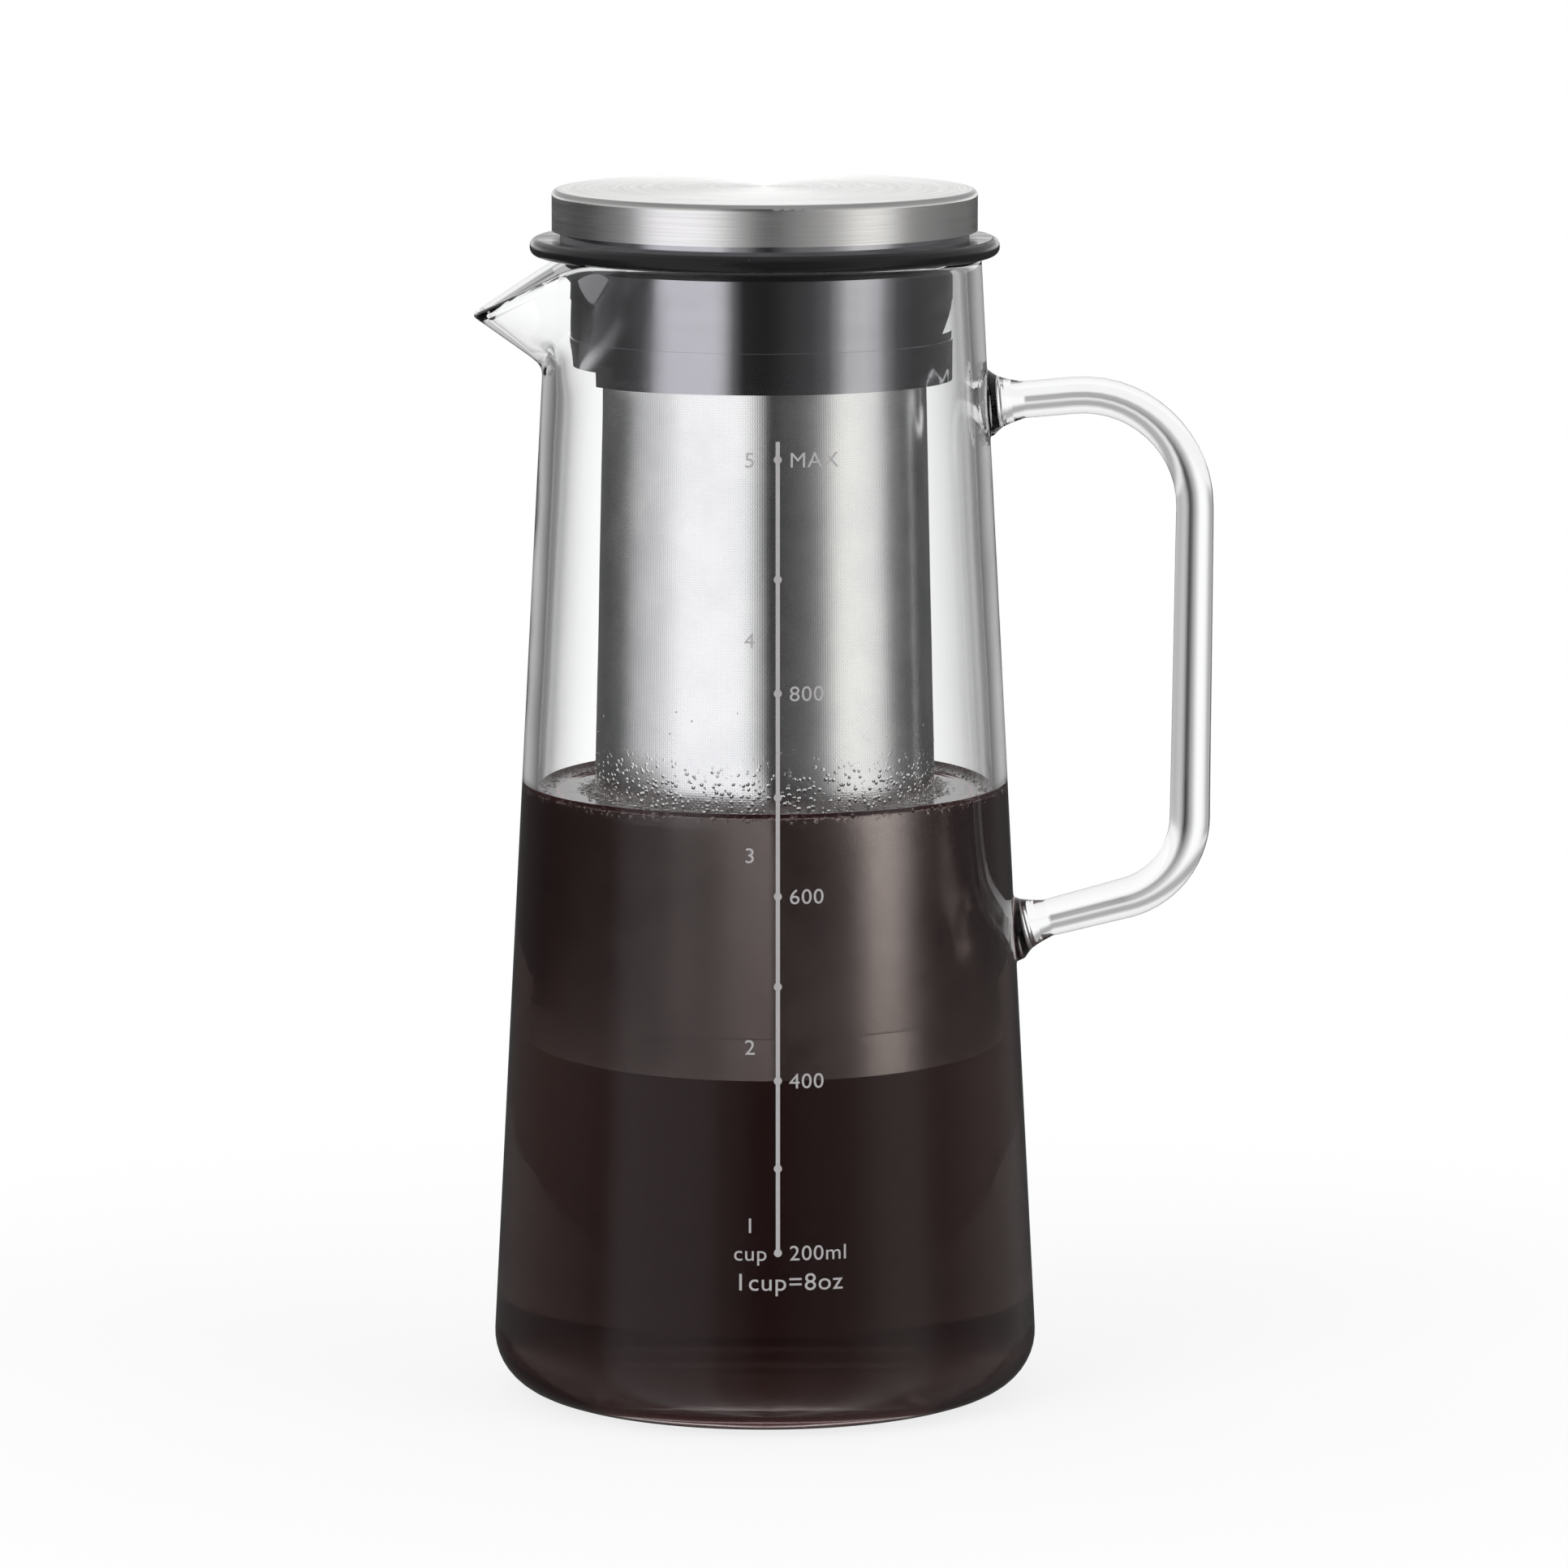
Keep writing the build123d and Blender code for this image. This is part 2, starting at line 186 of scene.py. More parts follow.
# What shows through clear glass, over each eighth of a turn from straight behind.
GAPS = [
    (0, 1.08), (4, 1.04), (7, 0.86), (10, 0.7), (12.5, 0.55), (15, 0.7), (18, 0.38), (23, 0.16),
    (28, 0.4), (30, 0.72), (32.5, 0.64), (35, 0.9), (38, 1.05), (41, 1.14), (45, 1.14),
]
# And along the wall itself, seen edge on: how far aside the edge throws it, as a sine, and its light.
EDGE_GAPS = [
    (0.0, 1.0), (0.04, 0.95), (0.12, 0.8), (0.3, 0.6), (0.45, 0.34), (0.57, 0.16), (0.66, 0.34),
    (1.0, 0.55),
]
# And higher up: half the sine of the direction's rise, counted from 0.5, and its share of that light.
GAPS_ABOVE = [(0.5, 1.0), (0.56, 0.45), (0.62, 0.45), (0.7, 1.0)]
# What shows through the handle's rod, by how many degrees aside of straight behind the rod throws it.
ROD_GAPS = [
    (-70, 0.7), (-50, 0.45), (-41, 0.42), (-34, 0.6), (-26, 0.88), (-18, 1.0), (-9, 1.0), (-4, 0.75),
    (0, 0.5), (4, 0.33), (8, 0.13), (12, 0.05), (15, 0.18), (20, 0.44), (26, 0.55), (40, 0.48),
    (52, 0.52), (70, 0.75),
]
# What the flat tops mirror of the far side of the room: sine of the direction's rise, and its light.
FAR_SKY = [
    (0.0, 1.5), (0.108, 1.5), (0.117, 1.3), (0.126, 1.0), (0.137, 0.87), (0.15, 0.82), (0.165, 0.78),
    (0.19, 0.68), (0.25, 0.7), (1.0, 0.8),
]
# Rises of a direction, as a sine, between which one part of the room gives way to the next.
UPPER_EDGE = (-0.03, 0.10)
CEILING_EDGE = (0.62, 0.8)
FAR_EDGE = (-0.05, -0.02)
GAPS_EDGE = (0.4, 0.55)
ROD_ARM_EDGE = (0.05, 0.15)
EYE_DIP = 0.11  # about how far down a ray from the front goes past the handle, as a sine
CEILING = (0.8, 0.8, 0.81, 1)
ROD_ARM_LIGHT = 0.93  # what the rod's arms throw into view
WITHIN_LIGHT = 0.42  # what goes round inside thick glass
BREW_HAZE = 0.88  # how much of the light straight through it the brew holds back
FLOOR_RADIUS = 320 * MM
FLOOR_FADE = (100 * MM, 300 * MM)  # distances from the axis over which the floor fades into the white
FOOT_SHADE = (46 * MM, 56 * MM)  # distances over which the dark under the carafe's foot ends

# ---- Fineness of the meshes ----
AROUND = 384  # vertices round the glass
CROWDING = 0.5  # how much closer together they stand at the spout, as a share of their average gap
HEEL_STEPS = 12
INNER_HEEL_STEPS = 10
LIP_STEPS = 8
LIP_SEARCH = 30  # halvings of the range in which the height of the lip is looked for
COARSE_RING = 6 * MM  # gap between the wall's rings
FINE_RING = 1.1 * MM  # and where the handle is fused on and the spout is pulled
BEAD_LEVELS = 2
WELD = 0.02 * MM  # vertices closer than this are one


def outer_radius(z):
    """Outside radius of the wall's straight line at a height."""
    return FOOT_RADIUS + (MOUTH_RADIUS - FOOT_RADIUS) * z / RIM_HEIGHT


def inner_radius(z):
    """Inside radius of the wall's straight line at a height."""
    return outer_radius(z) - WALL


# ======================================================================================
# Modelling helpers
# ======================================================================================
def deselect_all():
    """Leaves nothing selected, so that an operator acts on the new piece alone."""
    if bpy.context.mode != "OBJECT":
        bpy.ops.object.mode_set(mode="OBJECT")
    bpy.ops.object.select_all(action="DESELECT")


def pick(piece):
    """Makes one piece the selected and active one."""
    deselect_all()
    piece.select_set(True)
    bpy.context.view_layer.objects.active = piece


def settle(piece):
    """Puts the piece's place into its mesh and leaves its object at the origin."""
    pick(piece)
    bpy.ops.object.transform_apply(location=True, rotation=True, scale=True)


def edit(piece):
    """Opens a piece for editing, by its vertices, with nothing selected in it."""
    pick(piece)
    bpy.ops.object.mode_set(mode="EDIT")
    bpy.ops.mesh.select_mode(type="VERT")
    bpy.ops.mesh.select_all(action="DESELECT")


def weld(distance):
    """Merges doubles all over the piece that is open for editing, points its faces out and closes it."""
    bpy.ops.mesh.select_all(action="SELECT")
    bpy.ops.mesh.remove_doubles(threshold=distance)
    bpy.ops.mesh.normals_make_consistent(inside=False)
    bpy.ops.object.mode_set(mode="OBJECT")


def turned(name, outline):
    """Spins an outline of (radius, height) points once round the Z axis."""
    deselect_all()
    bpy.ops.mesh.primitive_plane_add(size=1.0)
    piece = bpy.context.active_object
    piece.name = piece.data.name = name
    bpy.ops.object.mode_set(mode="EDIT")
    bpy.ops.mesh.select_all(action="SELECT")
    bpy.ops.mesh.merge(type="CENTER")
    start = Vector((outline[0][0], 0, outline[0][1]))
    bpy.ops.transform.translate(value=start)
    for here, there in zip(outline, outline[1:]):
        step = (there[0] - here[0], 0, there[1] - here[1])
        bpy.ops.mesh.extrude_region_move(TRANSFORM_OT_translate={"value": step})
    bpy.ops.mesh.select_all(action="SELECT")
    bpy.ops.mesh.spin(steps=AROUND, angle=math.tau, center=(0, 0, 0), axis=(0, 0, 1))
    weld(WELD)
    return piece


def smooth(piece, angle=None):
    """Shades a piece smooth, with edges sharper than the angle left crisp."""
    pick(piece)
    if angle is None:
        bpy.ops.object.shade_smooth()
    else:
        bpy.ops.object.shade_smooth_by_angle(angle=math.radians(angle))


def arc_points(centre, radius, start, end, count):
    """Points (x, z) on an arc, both ends left out, angles in degrees."""
    points = []
    for step in range(1, count):
        angle = math.radians(start + (end - start) * step / count)
        points.append((centre[0] + radius * math.cos(angle), centre[1] + radius * math.sin(angle)))
    return points


def spaced(start, end, step):
    """Heights from start towards end, both left out, about one step apart."""
    count = max(1, round(abs(end - start) / step))
    return [start + (end - start) * n / count for n in range(1, count)]


# ======================================================================================
# Glass: the body is spun, its spout pulled, and the handle fused on
# ======================================================================================
def heel_arc(radius_at, floor, rounding, count):
    """The rounded corner between a floor and a wall: points from the floor up to the wall."""
    lean = math.atan2(FOOT_RADIUS - MOUTH_RADIUS, RIM_HEIGHT)
    set_in = rounding * math.tan((math.pi / 2 + lean) / 2)
    centre = (radius_at(floor) - set_in, floor + rounding)
    body = arc_points(centre, rounding, -90, math.degrees(lean), count)
    last = (centre[0] + rounding * math.cos(lean), centre[1] + rounding * math.sin(lean))
    return [(centre[0], floor)] + body + [last]


def inner_heel():
    """The rounded corner inside the carafe."""
    return heel_arc(inner_radius, BASE_GLASS, HEEL - WALL, INNER_HEEL_STEPS)


def wall_heights(low, high):
    """Ring heights for a wall: close together where the handle is fused on and the spout is pulled."""
    stretches = [
        (LOWER_ROOT - 11 * MM, COARSE_RING),
        (LOWER_ROOT + 12 * MM, FINE_RING),
        (UPPER_ROOT - 11 * MM, COARSE_RING),
        (high, FINE_RING),
    ]
    rings = []
    for end, gap in stretches:
        rings += spaced(low, end, gap) + [end]
        low = end
    return rings


def glass_outline():
    """Half-section of the carafe's wall, from the middle of its underside round to its inside floor."""
    top = RIM_HEIGHT - LIP_ROUND
    outside = heel_arc(outer_radius, 0.0, HEEL, HEEL_STEPS)
    inside = inner_heel()
    floor_rings = [r * MM for r in (0, 10, 20, 30)]
    outline = [(r, 0.0) for r in floor_rings] + outside
    outline += [(outer_radius(z), z) for z in wall_heights(outside[-1][1], top)]
    middle = (outer_radius(top) + inner_radius(top)) / 2
    for step in range(1, LIP_STEPS):
        angle = math.pi * step / LIP_STEPS
        outline.append((middle + WALL / 2 * math.cos(angle), top + LIP_ROUND * math.sin(angle)))
    outline += [(inner_radius(z), z) for z in reversed(wall_heights(inside[-1][1], top))]
    outline += list(reversed(inside))
    return outline + [(r, BASE_GLASS) for r in reversed(floor_rings)]


def spout_edge(z):
    """How far the outside of the spout stands from the axis at a height."""
    root = outer_radius(SPOUT_ROOT)
    return root + (SPOUT_REACH - root) / (SPOUT_TIP - SPOUT_ROOT) * (z - SPOUT_ROOT)


def pulled_radius(angle, z, wall, edge, nose):
    """Plan radius of the neck with its spout, at an angle from the spout's own direction."""
    centre = edge - nose
    if centre <= wall - nose:
        return wall
    spread = math.asin((wall - nose) / centre)
    angle = abs(angle)
    if angle >= math.pi / 2 - spread:
        return wall
    meet = math.atan2(nose * math.cos(spread), centre + nose * math.sin(spread))
    if angle > meet:
        return wall / math.sin(angle + spread)
    return centre * math.cos(angle) + math.sqrt(nose**2 - (centre * math.sin(angle)) ** 2)


def outside_at(angle, z):
    """Outside of the pulled neck at an angle from the spout and a height."""
    return pulled_radius(angle, z, outer_radius(z), spout_edge(z), SPOUT_NOSE)


def inside_at(angle, z):
    """Inside of the pulled neck at an angle from the spout and a height."""
    lean = (SPOUT_REACH - outer_radius(SPOUT_ROOT)) / (SPOUT_TIP - SPOUT_ROOT)
    skin = SPOUT_WALL * math.sqrt(1 + lean**2)
    return pulled_radius(angle, z, inner_radius(z), spout_edge(z) - skin, SPOUT_NOSE - SPOUT_WALL)


def eased(value, low, high):
    """0 below the range, 1 above it and a smooth rise between."""
    share = min(1.0, max(0.0, (value - low) / (high - low)))
    return share * share * (3 - 2 * share)


def shoulder_inside(angle, z):
    """Inside of the pulled neck, thickened inwards on both sides of the spout's mouth."""
    bare = inside_at(angle, z)
    first, full, after, last = map(math.radians, SHOULDER_TURN)
    across = eased(abs(angle), first, full) * (1 - eased(abs(angle), after, last))
    up = SHOULDER_FOOT + (1 - SHOULDER_FOOT) * eased(z, *SHOULDER_HEIGHT)
    up *= eased(z, SPOUT_PULL_FROM, SPOUT_PULL_FROM + 4 * MM)
    inside = bare - SHOULDER_GLASS * across * up
    if z > SEAL_CLEAR[0]:
        inside = max(inside, min(bare, SEAL_CLEAR[1]))
    return inside


def lip_height(forward):
    """Height of the lip at a distance forward of the axis, towards the spout."""
    slope = (SPOUT_TIP - RIM_HEIGHT) / (SPOUT_REACH - LIP_START)
    turn = math.atan(-slope)
    reach = LIP_BLEND * math.tan(turn / 2)
    if forward <= LIP_START - reach:
        return RIM_HEIGHT
    if forward >= LIP_START + reach * math.cos(turn):
        return RIM_HEIGHT + slope * (forward - LIP_START)
    run = forward - (LIP_START - reach)
    return RIM_HEIGHT - LIP_BLEND + math.sqrt(LIP_BLEND**2 - run**2)


def pulled_at(angle, z, share):
    """Radius of the pulled neck at a share of the way through its glass, from the inside out."""
    return shoulder_inside(angle, z) * (1 - share) + outside_at(angle, z) * share


def lip_at(angle, share):
    """Height of the lip at an angle from the spout, found by halving."""
    low, high = SPOUT_TIP - 4 * MM, RIM_HEIGHT
    for _ in range(LIP_SEARCH):
        lip = (low + high) / 2
        if lip_height(pulled_at(angle, lip, share) * math.cos(angle)) > lip:
            low = lip
        else:
            high = lip
    return lip


def pull_spout(piece):
    """Draws the rim out to the spout and down to its lip, as it is pulled from the hot wall."""
    for vertex in piece.data.vertices:
        x, y, z = vertex.co
        if z <= SPOUT_PULL_FROM:
            continue
        angle = math.atan2(y, -x)
        share = (math.hypot(x, y) - inner_radius(z)) / WALL
        climb = (z - SPOUT_PULL_FROM) / (RIM_HEIGHT - SPOUT_PULL_FROM)
        z = SPOUT_PULL_FROM + (lip_at(angle, share) - SPOUT_PULL_FROM) * climb
        radius = pulled_at(angle, z, share)
        vertex.co = (-radius * math.cos(angle), radius * math.sin(angle), z)


def crowd_round_spout(piece):
    """Slides the spun columns round the axis, so that they stand closer together at the spout."""
    for vertex in piece.data.vertices:
        x, y, z = vertex.co
        radius = math.hypot(x, y)
        angle = math.atan2(y, -x)
        angle -= CROWDING * math.sin(angle)
        vertex.co = (-radius * math.cos(angle), radius * math.sin(angle), z)


def relax(piece, chosen, rounds):
    """Softens the chosen vertices, as fire polishing softens a crease in glass."""
    edit(piece)
    mesh = bmesh.from_edit_mesh(piece.data)
    for vertex in mesh.verts:
        vertex.select = chosen(vertex.co)
    mesh.select_flush_mode()
    bmesh.update_edit_mesh(piece.data)
    bpy.ops.mesh.vertices_smooth(factor=0.5, repeat=rounds)
    bpy.ops.object.mode_set(mode="OBJECT")


def on_wall(height):
    """The point on the outside of the wall, under the handle, at a height."""
    return Vector((outer_radius(height), 0, height))


def arm_way(rise):
    """Direction of a handle's arm, away from the wall."""
    return Vector((math.cos(rise), 0, math.sin(rise)))


def bend_reach(radius, turn):
    """How far a bend's ends lie from its corner, and how far its curve handles reach along it."""
    return radius * math.tan(turn / 2), radius * 4 / 3 * math.tan(turn / 4)


def flared_end(root, out, straight):
    """Stops of the rod from inside the wall to the end of its flare, as rod_stops gives them."""
    flare = ROOT_FLARE / ROD
    return [
        (root - out * (WALL * 0.55), out, 0.4 * MM, 0.4 * MM, flare * 1.06),
        (root + out * 0.4 * MM, out, 0.6 * MM, 0.6 * MM, flare),
        (root + out * ROOT_FLARE_LENGTH * 0.5, out, 1.0 * MM, 1.0 * MM, 1.3),
        (root + out * (ROOT_FLARE_LENGTH * 1.15), out, 1.5 * MM, straight, 1.0),
    ]


def rod_stops():
    """Stops of the rod from its upper root to its lower one.

    Each has its place, its direction of travel, how far its curve handles reach back and ahead, and
    its radius as a share of the rod's.
    """
    straight = 2.0 * MM
    down = Vector((0, 0, -1))
    upper, out_up = on_wall(UPPER_ROOT), arm_way(UPPER_RISE)
    lower, out_low = on_wall(LOWER_ROOT), arm_way(LOWER_RISE)
    top = upper + out_up * ((GRIP_X - upper.x) / out_up.x)
    bottom = lower + out_low * ((GRIP_X - GRIP_LEAN - lower.x) / out_low.x)
    top_cut, top_pull = bend_reach(UPPER_BEND, math.pi / 2 + UPPER_RISE)
    low_cut, low_pull = bend_reach(LOWER_BEND, math.pi / 2 - LOWER_RISE)
    bends = [
        (top - out_up * top_cut, out_up, straight, top_pull, 1.0),
        (top + down * top_cut, down, top_pull, straight, 1.0),
        (bottom - down * low_cut, down, straight, low_pull, ROD_BELOW),
        (bottom - out_low * low_cut, -out_low, low_pull, straight, ROD_BELOW),
    ]
    foot = [
        (place, -way, ahead, back, share)
        for place, way, back, ahead, share in reversed(flared_end(lower, out_low, straight))
    ]
    return flared_end(upper, out_up, straight) + bends + foot


def handle_rod():
    """The bent rod, flared where it meets the wall, drawn as a curve and made a mesh."""
    stops = rod_stops()
    deselect_all()
    bpy.ops.curve.primitive_bezier_curve_add()
    rod = bpy.context.active_object
    rod.data.dimensions = "3D"
    spline = rod.data.splines[0]
    spline.bezier_points.add(len(stops) - len(spline.bezier_points))
    for point, (place, way, back, ahead, share) in zip(spline.bezier_points, stops):
        point.handle_left_type = point.handle_right_type = "FREE"
        point.co = place
        point.handle_left = place - way * back
        point.handle_right = place + way * ahead
        point.radius = share
    rod.data.resolution_u = 14
    rod.data.bevel_resolution = 12
    rod.data.bevel_depth = ROD
    rod.data.use_fill_caps = True
    bpy.ops.object.convert(target="MESH")
    edit(rod)
    weld(WELD / 2)
    settle(rod)
    return rod


def near_root(point, root_height, rise, inner, outer):
    """True on the outside of the wall in the ring-shaped band round a fused root."""
    if math.hypot(point.x, point.y) < outer_radius(point.z) - 0.9 * MM or point.x < 0:
        return False
    way = arm_way(rise)
    off = point - on_wall(root_height)
    away = (off - way * off.dot(way)).length
    return inner < away < outer and off.dot(way) < 3.5 * MM


def under_lip(point):
    """True on the spout's glass, up to just under its lip."""
    return point.x < SPOUT_BACK and SPOUT_ROOT - 5 * MM < point.z < lip_height(-point.x) - 2.6 * MM


def at_lip(point):
    """True on the spout's lip."""
    return point.x < SPOUT_BACK and point.z > lip_height(-point.x) - 3.2 * MM


def glass_carafe():
    """Body, spout and handle as one fused piece of glass."""
    glass = turned("carafe_glass", glass_outline())
    crowd_round_spout(glass)
    pull_spout(glass)
    relax(glass, under_lip, 12)
    relax(glass, at_lip, 1)
    rod = handle_rod()
    fuse = glass.modifiers.new("fuse", "BOOLEAN")
    fuse.operation = "UNION"
    fuse.solver = "EXACT"
    fuse.object = rod
    pick(glass)
    bpy.ops.object.modifier_apply(modifier=fuse.name)
    bpy.data.objects.remove(rod)
    for root, rise in ROOTS:
        relax(glass, lambda point: near_root(point, root, rise, *ROOT_FILLET), 5)
    smooth(glass)
    return glass


# ======================================================================================
# Coffee
# ======================================================================================
def coffee_fill():
    """All the coffee in the carafe, up to a skin that climbs a little at the glass."""
    skin = inner_heel()
    outline = [(r * MM, BASE_GLASS - SEAT) for r in (0, 12, 25)]
    outline += [(r + SEAT, z - SEAT) for r, z in skin]
    outline += [(inner_radius(z) + SEAT, z) for z in spaced(skin[-1][1], FILL, COARSE_RING)]
    wall = inner_radius(FILL)
    outline.append((wall + SEAT, FILL + MENISCUS))
    for away in (0.0, 0.35, 0.8, 1.4, 2.1, 3.0):
        outline.append((wall - away * MM, FILL + MENISCUS * math.exp(-away / MENISCUS_REACH)))
    outline.append((wall - 4.2 * MM, FILL))
    outline += [(r * MM, FILL) for r in (38, 34, 33, 30, 15, 0)]
    piece = turned("coffee_fill", outline)
    smooth(piece, 50)
    return piece


# ======================================================================================
# Bubbles, droplets and the printed scale
# ======================================================================================
def joined(name, parts):
    """Several meshes as one piece."""
    deselect_all()
    for part in parts:
        part.select_set(True)
    bpy.context.view_layer.objects.active = parts[0]
    bpy.ops.object.join()
    piece = bpy.context.active_object
    piece.name = piece.data.name = name
    settle(piece)
    return piece


def beads(name, places):
    """One small sphere per place; each place is (centre, (rx, ry, rz), turn about Z)."""
    deselect_all()
    bpy.ops.mesh.primitive_ico_sphere_add(subdivisions=BEAD_LEVELS, radius=1.0)
    first = bpy.context.active_object
    shape = first.data.copy()
    bpy.data.objects.remove(first)
    parts = []
    for centre, radii, turn in places:
        bead = bpy.data.objects.new(name, shape.copy())
        bpy.context.scene.collection.objects.link(bead)
        bead.matrix_world = (
            Matrix.Translation(centre) @ Matrix.Rotation(turn, 4, "Z") @ Matrix.Diagonal((*radii, 1))
        )
        parts.append(bead)
    piece = joined(name, parts)
    smooth(piece)
    return piece


def filter_radius(z):
    """Outside radius of the filter tube at a height."""
    return FILTER_TOP + FILTER_FLARE * (filter_high.z - z) / FILTER_LENGTH


def round_axis(radius, angle, z):
    """The point at a radius, an angle and a height."""
    return Vector((radius * math.cos(angle), radius * math.sin(angle), z))


def foam_ring(chance):
    """Froth that gathers in a ring where the coffee meets the filter, and along the glass."""
    places = []
    for _ in range(FOAM_COUNT):
        angle = chance.uniform(0, math.tau)
        size = chance.choice(FOAM_SIZES) * chance.uniform(0.8, 1.25) * MM
        away = abs(chance.gauss(0, 1.0)) * MM + size * 0.9
        centre = round_axis(filter_radius(FILL) + away, angle, FILL + size * 0.25)
        places.append((centre, (size, size, size * 0.8), angle))
    for _ in range(RIM_FOAM_COUNT):
        angle = chance.uniform(0, math.tau)
        size = chance.uniform(0.15, 0.42) * MM
        radius = inner_radius(FILL) - 0.8 * MM - size - abs(chance.gauss(0, 0.7)) * MM
        centre = round_axis(radius, angle, FILL + size * 0.4)
        places.append((centre, (size, size, size * 0.8), angle))
    return beads("coffee_bubbles", places)


def droplets(chance):
    """Drops that cling to the filter's mesh just above the coffee."""
    places = []
    for _ in range(DROP_COUNT):
        angle = chance.uniform(0, math.tau)
        climb = chance.expovariate(1 / DROP_CLIMB) * MM + 0.3 * MM
        if climb > DROP_HIGHEST:
            continue
        size = chance.uniform(0.08, 0.26) * MM
        centre = round_axis(filter_radius(FILL + climb), angle, FILL + climb)
        places.append((centre, (size * 0.4, size, size * chance.uniform(0.8, 1.3)), angle))
    return beads("filter_droplets", places)


def lettering(text, height, left, baseline, align="LEFT"):
    """A flat word of a given capital height, drawn in the plane y = 0, made a mesh."""
    deselect_all()
    bpy.ops.object.text_add(rotation=(math.pi / 2, 0, 0))
    word = bpy.context.active_object
    word.data.body = text
    word.data.size = height / CAPITAL_SHARE
    word.data.space_character = LETTER_SPACE
    word.data.align_x = align
    word.data.extrude = INK * 0.5
    word.data.resolution_u = 4
    word.location = (left, 0, baseline)
    bpy.ops.object.convert(target="MESH")
    word.scale.x = LETTER_WIDTH
    settle(word)
    return word


def dot(across, height, diameter):
    """A round dot of ink in the plane y = 0."""
    deselect_all()
    bpy.ops.mesh.primitive_cylinder_add(
        vertices=24,
        radius=diameter / 2,
        depth=INK,
        rotation=(math.pi / 2, 0, 0),
        location=(across, 0, height),
    )
    mark = bpy.context.active_object
    settle(mark)
    return mark


def scale_line(across, low, high, width):
    """The upright line of the scale. The wall is straight from its foot to its head, and so is the line."""
    deselect_all()
    middle = (across, 0, (low + high) / 2)
    bpy.ops.mesh.primitive_cube_add(size=1, location=middle, scale=(width, INK, high - low))
    line = bpy.context.active_object
    settle(line)
    return line


def wrap_on_wall(piece):
    """Lays flat print on the front of the wall: across becomes an arc, depth stays square to it."""
    for vertex in piece.data.vertices:
        across, depth, z = vertex.co
        radius = outer_radius(z)
        angle = across / radius
        reach = radius + PROUD - depth
        vertex.co = (reach * math.sin(angle), -reach * math.cos(angle), z)


def printed_scale():
    """Millilitres on the right of the line and cups on the left, in pale ink."""
    line = SCALE_ACROSS
    middle = DIGIT / 2
    marks = [scale_line(line, SCALE_MARKS[200], SCALE_MARKS[1000] + SCALE_TOP, SCALE_LINE)]
    marks += [dot(line, height, SCALE_DOT) for height in SCALE_MARKS.values()]
    for mark, text in SCALE_WORDS.items():
        marks.append(lettering(text, DIGIT, line + WORDS_ASIDE, SCALE_MARKS[mark] - middle))
    for cups, height in CUP_MARKS.items():
        marks.append(lettering(str(cups), DIGIT, line - CUPS_ASIDE, height - middle, "CENTER"))
    marks.append(lettering("cup", DIGIT, line - CUP_WORD_ASIDE, SCALE_MARKS[200] - middle, "RIGHT"))
    note = DIGIT * NOTE_SIZE
    marks.append(lettering("1cup=8oz", note, line + WORDS_ASIDE, NOTE_HEIGHT - note / 2, "CENTER"))
    piece = joined("scale_print", marks)
    wrap_on_wall(piece)
    smooth(piece, 30)
    return piece


# ======================================================================================
# Materials
# ======================================================================================
def grey(tone):
    """A neutral colour."""
    return (tone, tone, tone, 1)


